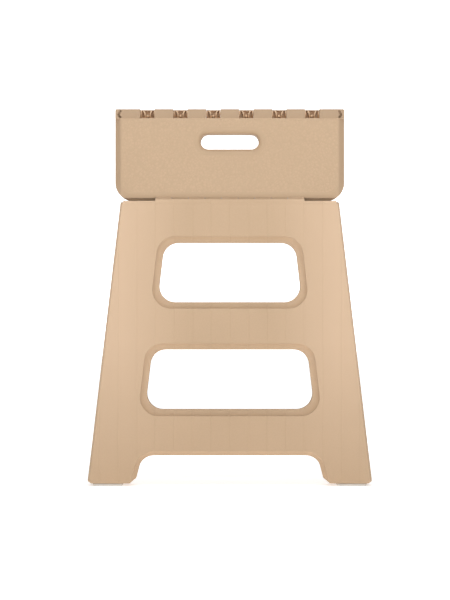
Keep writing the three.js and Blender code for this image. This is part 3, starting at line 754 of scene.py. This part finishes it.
def fingers(owner):
    half = FRONT_FINGER_HALF if owner == "front" else BACK_FINGER_HALF
    pieces = []
    for middle in finger_middles(owner):
        x0, x1 = middle - half, middle + half
        outline = rectangle(x0, x1, POCKET_FLOOR - 2, SEAT_TIP)
        span = (x0 + 1, x1 - 1)
        pieces += [
            loft((inset(outline, 0.4), 0.02), (outline, 0.4), (outline, SEAT_SKIN)),
            cheek(x0, x0 + CHEEK),
            cheek(x1 - CHEEK, x1),
            finger_inside(x0, x1),
            box(span, FINGER_FLOOR, (POCKET_FLOOR - 2, SEAT_TIP)),
            box(span, (1, HALF_THICKNESS + FINGER_ROOF), (SEAT_TIP - 1.5, SEAT_TIP)),
        ]
    if owner == "front":
        pieces.append(on_both_sides(corner_piece()))
    return joined(pieces) - tip_cut()


def pegs():
    """Pegs on the front fingers, each reaching into the cheek of its neighbour on the back half."""
    bars = []
    for middle in finger_middles("back"):
        for side in (-1, 1):
            root = middle + side * (BACK_FINGER_HALF + FINGER_GAP + 1)
            head = middle + side * (BACK_FINGER_HALF - CHEEK + 0.2)
            x0, x1 = sorted((root, head))
            bars.append(bar_x(PEG_RADIUS, x0, x1, HALF_THICKNESS, CENTRE_HINGE_HEIGHT, 0.3))
    return joined(bars)


def tread_height(x, z):
    """Height of the pebbled tread, from 0 at the face around it to 1 on top of a pebble."""
    distances, _ = noise.voronoi(Vector((x, z, 0)) / TREAD_CELL)
    dome = min((distances[1] - distances[0]) / 0.4, 1)
    return dome * dome * (3 - 2 * dome)


def tread():
    """A slab with a pebbled face that stands in the seat half's skin."""
    high_x = SEAT_HALF - SEAT_BEVEL_SIDE - 2.6
    low_z, high_z = SEAT_BOTTOM + SEAT_BEVEL_BOTTOM + 2.4, POCKET_FLOOR - 1.6
    columns = round(2 * high_x / TREAD_STEP)
    rows = round((high_z - low_z) / TREAD_STEP)
    shape = bmesh.new()
    grid = []
    for row in range(rows + 1):
        z = low_z + (high_z - low_z) * row / rows
        line = []
        for column in range(columns + 1):
            x = high_x * (2 * column / columns - 1)
            depth = TREAD_RECESS - 0.02 - TREAD_RELIEF * tread_height(x, z)
            line.append(shape.verts.new((x, depth, z)))
        grid.append(line)
    for lower, upper in zip(grid, grid[1:]):
        for column in range(columns):
            shape.faces.new((lower[column], lower[column + 1], upper[column + 1], upper[column]))
    right_side = [line[-1] for line in grid[1:-1]]
    left_side = [line[0] for line in grid[-2:0:-1]]
    rim = grid[0] + right_side + grid[-1][::-1] + left_side
    deep = [shape.verts.new((point.co.x, SEAT_SKIN / 2, point.co.z)) for point in rim]
    for index, point in enumerate(rim):
        after = (index + 1) % len(rim)
        shape.faces.new((point, rim[after], deep[after], deep[index]))
    shape.faces.new(deep)
    corners = symmetrical([(high_x, low_z, 17), (high_x, high_z, 1)])
    border = shell(corners, [(0, -1), (0, SEAT_SKIN)])
    slot = shell(SLOT_OUTLINE, [(-2, -1), (-2, SEAT_SKIN)])
    return (closed(shape) & border) - slot


def lower_edge_walls():
    """The walls that close the seat half's lower edge beyond the two ends of its hinge."""
    start = HINGE_ZONE + 0.5
    end = box((start, HINGE_ZONE + 3), (1, SEAT_SHALLOW_DEPTH), (SEAT_BOTTOM, SEAT_SHALLOW_TOP + 1))
    depth = (SEAT_BEVEL_DEPTH, SKIRT_DEPTH + SEAT_WALL)
    floor = box((start, SEAT_HALF), depth, (SEAT_BOTTOM, SEAT_HINGE_EDGE + SEAT_WALL))
    return on_both_sides(end + floor)


def seat_half(owner):
    """A seat half with its tread. The front one has pegs and the back one has holes for them."""
    outer = seat_outer()
    inside = (seat_ribs() + lower_edge_walls()) & outer
    tip_space = box((-170, 170), (-1, 40), (POCKET_FLOOR, SEAT_TIP + 1))
    span = (RIBBED_HALF, SEAT_HALF - SEAT_WALL)
    corner_space = box(span, (CORNER_DEPTH, 30), (POCKET_FLOOR - END_WALL - 5, SEAT_TIP + 1))
    half = (((outer - seat_hollow()) + inside) - tip_space) - on_both_sides(corner_space)
    half = (half + fingers(owner)) - leg_clearance()
    half = ((half + seat_knuckles()) - seat_hinge_bore()) - slot_hole()
    if owner == "front":
        half = half + pegs()
    else:
        half = half - bar_x(PEG_HOLE_RADIUS, -130, 130, HALF_THICKNESS, CENTRE_HINGE_HEIGHT)
    return half + tread()


# ------------------------ side panel


def middle_knuckles(bar, owner):
    """The spans of one bar's middle knuckles: the outer quarters or the inner half."""
    low, high = bar
    quarter = (high - low) / 4
    if owner == "front":
        return [(low, low + quarter), (high - quarter, high)]
    return [(low + quarter + FINGER_GAP, high - quarter - FINGER_GAP)]


def side_plate(u0, u1, z0, z1):
    """A flat plate of the side panel with softened edges."""
    outline = rectangle(-u1, -u0, z0, z1, 0.8)
    near, far, soft = SIDE_PLATE_NEAR, SIDE_PLATE_FAR, 0.4
    return shell(outline, [(soft, near), (0, near + soft), (0, far - soft), (soft, far)])


def side_recess(u0, u1, z0, z1):
    """A shallow pan with rounded corners and leaning sides."""
    outline = rectangle(-u1, -u0, z0, z1, 2.4)
    near, floor = SIDE_PLATE_NEAR, SIDE_PLATE_NEAR + SIDE_RECESS
    return shell(outline, [(-0.6, near - 1), (-0.1, near), (0.4, floor - 0.5), (0.9, floor)])


def side_knuckle(height):
    """A knuckle round the rod, drawn out to the start of the side plate."""
    root, top = -SIDE_PLATE_START - 0.2, SIDE_PLATE_FAR - 2
    points = [(root - 2.8, SIDE_PLATE_NEAR + 0.5), (root, top)]
    radius = SIDE_KNUCKLE_RADIUS
    facing = math.atan2(top, root)
    for step in range(17):
        angle = facing - math.pi * 0.62 - step * math.pi * 0.98 / 16
        points.append((radius * math.cos(angle), radius * math.sin(angle)))
    half = SIDE_KNUCKLE_LENGTH / 2
    shape = bmesh.new()
    for z in (height - half, height + half):
        for x, y in points:
            shape.verts.new((x, y, z))
    hull = bmesh.ops.convex_hull(shape, input=shape.verts)
    spare = set(hull["geom_interior"]) | set(hull["geom_unused"])
    bmesh.ops.delete(shape, geom=[part for part in spare if isinstance(part, bmesh.types.BMVert)])
    bmesh.ops.dissolve_limit(shape, angle_limit=0.01, verts=shape.verts, edges=shape.edges)
    return closed(shape)


def side_panel(owner):
    """A side panel in the side frame, for the side at positive x of its half."""
    middle_depth = HALF_THICKNESS - HINGE_DEPTH
    pieces = [side_plate(SIDE_PLATE_START, STILE_END, SIDE_BOTTOM, SIDE_TOP)]
    cuts = []
    for low, high in SIDE_BARS:
        pieces.append(side_plate(STILE_END - 3, SIDE_PLATE_NOTCH, low, high))
        for start, end in middle_knuckles((low, high), owner):
            pieces.append(side_plate(SIDE_PLATE_NOTCH - 3, SIDE_PLATE_END, start, end))
            pieces.append(bar_z(MIDDLE_KNUCKLE_RADIUS, -ARM, middle_depth, start, end, 0.5))
        edge = SIDE_BORDER
        cuts.append(side_recess(STILE_END + edge, SIDE_PLATE_NOTCH - edge, low + edge, high - edge))
        cuts.append(bar_z(BORE_RADIUS, -ARM, middle_depth, low - 1, high + 1))
    levels = [SIDE_BOTTOM + 1, 104, 207.5, 309, SIDE_TOP - 1]
    for low, high in zip(levels, levels[1:]):
        cuts.append(side_recess(SIDE_PLATE_START + 3, STILE_END - 3, low + 2, high - 2))
    for height in SIDE_KNUCKLE_HEIGHTS:
        pieces.append(side_knuckle(height))
        reach = SIDE_KNUCKLE_LENGTH / 2 + 1
        cuts.append(bar_z(BORE_RADIUS, 0, 0, height - reach, height + reach))
    cuts.append(extruded_y(SIDE_CORNER, SIDE_PLATE_NEAR - 1, SIDE_PLATE_FAR + 1))
    panel = joined(pieces)
    for cut in cuts:
        panel = panel - cut
    return panel


# ------------------------ pins and rods


def rod(length):
    """A steel rod along z about the origin, with a chamfer at each end."""
    return bar_z(PIN_RADIUS, 0, 0, -length / 2, length / 2, 0.35)


# ------------------------ materials


class Look:
    """A material, and short ways to add the nodes that feed its shader."""

    def __init__(self, name):
        self.material = bpy.data.materials.new(name)
        self.material.use_nodes = True
        self.nodes = self.material.node_tree.nodes
        self.links = self.material.node_tree.links
        self.shader = self.nodes["Principled BSDF"]
        self.place = self.nodes.new("ShaderNodeTexCoord").outputs["Object"]

    def feed(self, name, value):
        """Gives one of the shader's sockets a value that varies over the surface."""
        self.links.new(value, self.shader.inputs[name])

    def noise(self, scale, detail=2.0, stretch=(1, 1, 1)):
        mapping = self.nodes.new("ShaderNodeMapping")
        mapping.inputs["Scale"].default_value = stretch
        self.links.new(self.place, mapping.inputs["Vector"])
        texture = self.nodes.new("ShaderNodeTexNoise")
        texture.inputs["Scale"].default_value = scale
        texture.inputs["Detail"].default_value = detail
        self.links.new(mapping.outputs["Vector"], texture.inputs["Vector"])
        return texture.outputs["Fac"]

    def mapped(self, value, low, high, to_low=0, to_high=1):
        """A value from low to high carried to a value from to_low to to_high."""
        node = self.nodes.new("ShaderNodeMapRange")
        node.inputs["From Min"].default_value = low
        node.inputs["From Max"].default_value = high
        node.inputs["To Min"].default_value = to_low
        node.inputs["To Max"].default_value = to_high
        self.links.new(value, node.inputs["Value"])
        return node.outputs["Result"]

    def arithmetic(self, operation, first, second):
        """Arithmetic on a value and another value or a number."""
        node = self.nodes.new("ShaderNodeMath")
        node.operation = operation
        self.links.new(first, node.inputs[0])
        if isinstance(second, (int, float)):
            node.inputs[1].default_value = second
        else:
            self.links.new(second, node.inputs[1])
        return node.outputs["Value"]

    def product(self, first, second):
        return self.arithmetic("MULTIPLY", first, second)

    def blended(self, factor, first, second):
        """A colour mixed from two colours or colour sockets."""
        node = self.nodes.new("ShaderNodeMix")
        node.data_type = "RGBA"
        self.links.new(factor, node.inputs["Factor"])
        for socket, value in zip((node.inputs[6], node.inputs[7]), (first, second)):
            if isinstance(value, tuple):
                socket.default_value = (*value, 1)
            else:
                self.links.new(value, socket)
        return node.outputs[2]

    def along(self, axis):
        """How far a point is along an axis of the stool."""
        split = self.nodes.new("ShaderNodeSeparateXYZ")
        self.links.new(self.place, split.inputs["Vector"])
        return split.outputs[axis]

    def aside(self, axis):
        """How far a point is from the middle of the stool, either way along an axis."""
        return self.arithmetic("ABSOLUTE", self.along(axis), 0)

    def bump(self, height, distance):
        node = self.nodes.new("ShaderNodeBump")
        node.inputs["Distance"].default_value = distance
        self.links.new(height, node.inputs["Height"])
        self.feed("Normal", node.outputs["Normal"])


def edge_wear_and_highlight_mask(look, radius):
    """Nearly 0 on flat faces and larger on edges, which are painted lighter, partly as wear from handling
    and partly as a painted highlight.
    """
    bevel = look.nodes.new("ShaderNodeBevel")
    bevel.samples = 4
    bevel.inputs["Radius"].default_value = radius
    geometry = look.nodes.new("ShaderNodeNewGeometry")
    dot = look.nodes.new("ShaderNodeVectorMath")
    dot.operation = "DOT_PRODUCT"
    look.links.new(bevel.outputs["Normal"], dot.inputs[0])
    look.links.new(geometry.outputs["Normal"], dot.inputs[1])
    return look.mapped(dot.outputs["Value"], 1.0, 0.8)


def painted_shade_mask(look, reach):
    """Painted shade: up to its greatest strength in gaps and pockets, where shade falls, and 0 near the
    outer faces.
    """
    shelter = look.nodes.new("ShaderNodeAmbientOcclusion")
    shelter.samples = 6
    shelter.inputs["Distance"].default_value = reach
    sheltered = look.mapped(shelter.outputs["AO"], 0.5, 0.2, 0, PAINTED_SHADE_MOST)
    out = look.aside("Y")
    high, low = [(HALF_THICKNESS - depth) * MM for depth in PAINTED_SHADE_START]
    below_face = look.mapped(out, high, low)
    high, low = [(HALF_THICKNESS - depth) * MM for depth in PAINTED_SHADE_END]
    return look.product(sheltered, look.product(below_face, look.mapped(out, low, high)))


BEIGE = (0.595, 0.42, 0.27)
BEIGE_DARK = (0.565, 0.398, 0.254)
# Edges painted lighter: partly wear, partly a painted highlight.
BEIGE_WORN_AND_HIGHLIT = (0.66, 0.49, 0.335)
# Painted shade on the smooth tip strip and side bevels of the seat.
BEIGE_PAINTED_SMOOTH_SHADE = (0.477, 0.331, 0.212)
# Painted light: the leg panels are lighter towards their sides, where light falls more strongly.
BEIGE_PAINTED_SIDE_LIGHT = (0.70, 0.50, 0.335)
# Painted shade: the tread is darker between its pebbles.
BEIGE_PAINTED_VALLEY_SHADE = (0.54, 0.38, 0.243)
# Painted light: paler colour inside the fingers about the centre hinge, and how far from the middle it
# reaches.
BEIGE_PAINTED_LIGHT = (0.82, 0.585, 0.38)
PAINTED_LIGHT_REACH = (7.3, 9)
# Painted shade laid into gaps and pockets: its dark colour, its greatest strength and the depths where it
# starts and ends.
PAINTED_SHADE_COLOUR = (0.2, 0.13, 0.07)
PAINTED_SHADE_MOST = 0.35
PAINTED_SHADE_START = (2.6, 4.5)
PAINTED_SHADE_END = (12.6, 14.2)


def plastic(name, sink_lines_and_side_light=False, seat=False):
    """Matte moulded plastic: faint clouding, fine grain, painted shade in gaps and pockets, and edges
    painted lighter, partly as wear and partly as a painted highlight.

    Over ribs it has sink lines and is painted lighter towards the sides and above the feet, as painted
    light.
    """
    look = Look(name)
    clouds = look.noise(14, 3)
    tone = look.arithmetic("ADD", clouds, look.noise(420, 3))
    colour = look.blended(look.mapped(tone, 0.75, 1.25), BEIGE_DARK, BEIGE)
    if sink_lines_and_side_light:
        # Painted light: lighter towards the sides and above the feet.
        towards_side = look.mapped(look.aside("X"), 0.06, 0.15)
        above_feet = look.mapped(look.along("Z"), 0.02, 0.2)
        colour = look.blended(look.product(towards_side, above_feet), colour, BEIGE_PAINTED_SIDE_LIGHT)
    if seat:
        colour = seat_colour(look, colour)
    # Edges painted lighter, partly as wear and partly as a painted highlight.
    worn_and_highlit = look.product(edge_wear_and_highlight_mask(look, 0.0007), clouds)
    colour = look.blended(worn_and_highlit, colour, BEIGE_WORN_AND_HIGHLIT)
    # Painted shade darkens the colour in gaps and pockets.
    look.feed("Base Color", look.blended(painted_shade_mask(look, 0.014), colour, PAINTED_SHADE_COLOUR))

    scuffs = look.noise(220, 4, (1, 1, 0.3))
    look.feed("Roughness", look.mapped(scuffs, 0.3, 0.7, 0.5, 0.62))
    look.shader.inputs["Specular IOR Level"].default_value = 0.35

    height = look.product(look.noise(1700), 0.02)
    if sink_lines_and_side_light:
        height = look.arithmetic("SUBTRACT", height, look.product(rib_lines(look), 0.3))
    look.bump(height, MM)
    return look.material


def seat_colour(look, colour):
    """A seat half's plastic: painted shade between pebbles and on the smooth tip and side bevels, painted
    light about its hinge.
    """
    valley = HALF_THICKNESS - TREAD_RECESS
    # Painted shade between the pebbles.
    raised = look.mapped(look.aside("Y"), valley * MM, (valley + TREAD_RELIEF) * MM)
    colour = look.blended(raised, BEIGE_PAINTED_VALLEY_SHADE, colour)
    # Painted shade on the smooth tip and side bevels.
    colour = look.blended(smooth_painted_shade_mask(look), colour, BEIGE_PAINTED_SMOOTH_SHADE)
    # Painted light about the centre hinge.
    return look.blended(painted_light_about_hinge(look), colour, BEIGE_PAINTED_LIGHT)


def smooth_painted_shade_mask(look):
    """1 on a seat half's tip and side bevels, which are smooth and get painted shade, and 0 on its tread.
    """
    tip = look.mapped(look.along("Z"), (POCKET_FLOOR - 0.6) * MM, (POCKET_FLOOR - 0.2) * MM)
    bevel = SEAT_HALF - SEAT_BEVEL_SIDE
    return look.arithmetic("MAXIMUM", tip, look.mapped(look.aside("X"), (bevel - 1) * MM, bevel * MM))


def painted_light_about_hinge(look):
    """1 about the centre hinge, inside the fingers and on the front seat half's outer ends, where painted
    light makes the colour paler.
    """
    near, far = [distance * MM for distance in PAINTED_LIGHT_REACH]
    about = look.mapped(look.aside("Y"), far, near)
    height = look.along("Z")
    above = look.mapped(height, (POCKET_FLOOR - 1) * MM, POCKET_FLOOR * MM)
    below = look.mapped(height, (SEAT_TIP - 0.8) * MM, (SEAT_TIP - 1.4) * MM)
    return look.product(about, look.product(above, below))


def rib_lines(look):
    """Narrow lines where ribs stand behind the skin, from 0 beside each to 1 along its middle."""
    wave = look.arithmetic("PINGPONG", look.along("X"), SINK_PITCH * MM / 2)
    return look.mapped(wave, 1.6 * MM, 0)


def steel(name):
    """Drawn steel wire: bright, with fine scratches round it and a little dulling."""
    look = Look(name)
    rings = look.noise(900, 3, (1, 1, 4))
    look.feed("Base Color", look.blended(look.noise(60, 3), (0.40, 0.40, 0.41), (0.58, 0.58, 0.59)))
    look.shader.inputs["Metallic"].default_value = 1.0
    look.feed("Roughness", look.mapped(rings, 0.3, 0.7, 0.22, 0.42))
    look.bump(rings, 0.02 * MM)
    return look.material


def rubber(name):
    """Pale foot rubber: dusty, dull and slightly speckled."""
    look = Look(name)
    dust = look.noise(120, 4)
    look.feed("Base Color", look.blended(dust, (0.63, 0.595, 0.54), (0.73, 0.69, 0.635)))
    look.feed("Roughness", look.mapped(dust, 0.3, 0.7, 0.75, 0.9))
    look.bump(look.noise(1500), 0.05 * MM)
    return look.material


# ------------------------ pieces on their bodies


SHARP_ANGLE = math.radians(32)


def half_place(turned):
    """From a half's frame in millimetres to the shared frame in metres."""
    turn = Matrix.Identity(4) if turned > 0 else Matrix.Rotation(math.pi, 4, "Z")
    return Matrix.Scale(MM, 4) @ Matrix.Translation((0, -turned * HALF_THICKNESS, 0)) @ turn


def piece(name, node, body, material, solid, matrix):
    """A finished piece: a solid in its place, shaded, on its body and standing for its CAD node."""
    mesh = solid.moved(matrix).mesh
    mesh.name = name
    mesh.materials.clear()
    mesh.materials.append(material)
    mesh.shade_smooth()
    mesh.set_sharp_from_angle(angle=SHARP_ANGLE)
    finished = in_scene(name, mesh)
    normals = finished.modifiers.new("face weighted normals", "WEIGHTED_NORMAL")
    normals.keep_sharp = True
    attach(finished, body)
    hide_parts(node)
    return finished


def build_half(owner, turned, leg, pad, materials):
    place = half_place(turned)
    beige, lined, pebbled, bright, pale = materials
    leg_body, seat_body = f"{owner}_leg", f"{owner}_seat"
    piece(f"{owner}_leg_shell", f"{owner}_leg_panel", leg_body, lined, leg, place)
    seat = seat_half(owner)
    piece(f"{owner}_tread", f"{owner}_seat_half", seat_body, pebbled, seat, place)
    lying = Matrix.Translation((0, HINGE_DEPTH, SEAT_HINGE_HEIGHT)) @ Matrix.Rotation(math.pi / 2, 4, "Y")
    pin = rod(2 * HINGE_ZONE)
    pin_name = f"{owner}_seat_hinge_pin"
    piece(f"{owner}_seat_pin", pin_name, leg_body, bright, pin, place @ lying)

    panel = side_panel(owner)
    side_rod = rod(ROD_END - ROD_START).moved(Matrix.Translation((0, 0, (ROD_START + ROD_END) / 2)))
    for side in (-1, 1):
        hand = "right" if side * turned > 0 else "left"
        mirrored = place if side > 0 else place @ MIRROR
        in_side = mirrored @ SIDE_PLACE
        node = f"{hand}_{owner}_foot_pad"
        piece(f"{hand}_{owner}_pad", node, leg_body, pale, pad, mirrored)
        node = f"{hand}_{owner}_side_panel"
        body = f"{hand}_{owner}_side"
        piece(f"{hand}_{owner}_side_plate", node, body, beige, panel, in_side)
        node = f"{hand}_{owner}_side_hinge_rod"
        piece(f"{hand}_{owner}_side_rod", node, leg_body, bright, side_rod, in_side)
        if owner == "back":
            build_fold_pins(hand, body, bright, in_side)


def build_fold_pins(hand, body, material, in_side):
    for (low, high), level in zip(SIDE_BARS, ("lower", "middle", "upper")):
        spot = Matrix.Translation((-ARM, HALF_THICKNESS - HINGE_DEPTH, (low + high) / 2))
        node = f"{hand}_{level}_fold_pin"
        pin = rod(high - low - 1)
        piece(f"{hand}_{level}_pin", node, body, material, pin, in_side @ spot)


def build_stool():
    materials = (
        plastic("moulded_beige"),
        plastic("moulded_beige_over_ribs", sink_lines_and_side_light=True),
        plastic("moulded_beige_tread", seat=True),
        steel("drawn_steel"),
        rubber("pale_rubber"),
    )
    leg = leg_panel()
    pad = foot_pad()
    build_half("front", 1, leg, pad, materials)
    build_half("back", -1, leg, pad, materials)


# ------------------------ stage, lights and camera

STAGE_RADIUS = 7.0
STAGE_HEIGHT = 6.0
STAGE_SIDES = 96
FLOOR_GLOW = {"near": 0.5, "far": 1.0, "from": 0.5, "to": 1.6}


def stage_object(name, mesh, material):
    mesh.materials.append(material)
    finished = in_scene(name, mesh)
    return finished


def floor_disc():
    """A round floor, in rings so that it stays fine near the stool."""
    shape = bmesh.new()
    rings = [[shape.verts.new((0, 0, 0))]]
    for radius in (0.3, 0.8, 1.6, 3.0, STAGE_RADIUS):
        rings.append([shape.verts.new((x, y, 0)) for x, y in circle(radius, sides=STAGE_SIDES)])
    for near, far in zip(rings, rings[1:]):
        for index in range(STAGE_SIDES):
            after = (index + 1) % STAGE_SIDES
            inner = [near[after], near[index]] if len(near) > 1 else near
            shape.faces.new([far[index], far[after]] + inner)
    return mesh_of(shape, "floor")


def surround():
    """A round wall far behind, seen by the camera and lighting nothing."""
    shape = bmesh.new()
    points = circle(STAGE_RADIUS, sides=STAGE_SIDES)
    foot, head = [[shape.verts.new((x, y, z)) for x, y in points] for z in (0, STAGE_HEIGHT)]
    for index in range(STAGE_SIDES):
        after = (index + 1) % STAGE_SIDES
        shape.faces.new((foot[after], foot[index], head[index], head[after]))
    return mesh_of(shape, "surround")


def paper(name):
    """White paper with a faint fibre, glowing a little as seamless paper under a lamp does."""
    look = Look(name)
    inputs = look.shader.inputs
    inputs["Roughness"].default_value = 0.9
    inputs["Specular IOR Level"].default_value = 0.1
    inputs["Emission Color"].default_value = (1, 1, 1, 1)
    inputs["Emission Strength"].default_value = FLOOR_GLOW["far"]
    look.feed("Base Color", look.blended(look.noise(40, 3), (0.95, 0.95, 0.95), (0.97, 0.97, 0.97)))
    return look


def build_stage():
    """A pale floor and a plain white surround."""
    look = paper("pale_paper")
    distance = look.nodes.new("ShaderNodeVectorMath")
    distance.operation = "LENGTH"
    look.links.new(look.place, distance.inputs[0])
    near, far, start, end = (FLOOR_GLOW[key] for key in ("near", "far", "from", "to"))
    look.feed("Emission Strength", look.mapped(distance.outputs["Value"], start, end, near, far))
    stage_object("floor", floor_disc(), look.material)

    wall = stage_object("surround", surround(), paper("white_surround").material)
    wall.visible_diffuse = False
    wall.visible_glossy = False
    wall.visible_transmission = False
    wall.visible_shadow = False


def area_light(name, place, target, size, power):
    """A soft lamp that the camera doesn't see."""
    light = bpy.data.lights.new(name, "AREA")
    light.shape = "RECTANGLE"
    light.size, light.size_y = size
    light.energy = power
    lamp = in_scene(name, light)
    lamp.location = place
    lamp.rotation_euler = (Vector(target) - Vector(place)).to_track_quat("-Z", "Y").to_euler()
    lamp.visible_camera = False


WORLD_STRENGTH = 0.25
LAMPS = [
    ("front_softbox", (0.18, -2.4, 0.6), (0, 0, 0.28), (0.5, 1.5), 10.3),
    ("top_softbox", (0, -0.9, 1.9), (0, -0.1, 0.2), (1.6, 1.0), 15),
    ("rear_softbox", (0, 1.0, 0.9), (0, 0, 0.3), (1.2, 0.8), 6),
]


def build_lights():
    """A white surround and soft boxes in front, above and behind."""
    world = bpy.data.worlds.new("studio")
    bpy.context.scene.world = world
    world.use_nodes = True
    world.node_tree.nodes["Background"].inputs["Color"].default_value = (1, 1, 1, 1)
    world.node_tree.nodes["Background"].inputs["Strength"].default_value = WORLD_STRENGTH
    for lamp in LAMPS:
        area_light(*lamp)


SENSOR = 36
CAMERA_LENS = 129.2
CAMERA_PLACE = (-0.0067, -3.0215, 0.2593)


def build_camera():
    data = bpy.data.cameras.new("camera")
    data.lens = CAMERA_LENS
    data.sensor_width = SENSOR
    camera = in_scene("camera", data)
    camera.location = CAMERA_PLACE
    camera.rotation_euler = (math.pi / 2, 0, 0)
    bpy.context.scene.camera = camera


def set_view():
    view = bpy.context.scene.view_settings
    view.view_transform = "Standard"
    view.look = "None"


build_camera()
build_stage()
build_lights()
build_stool()
set_view()
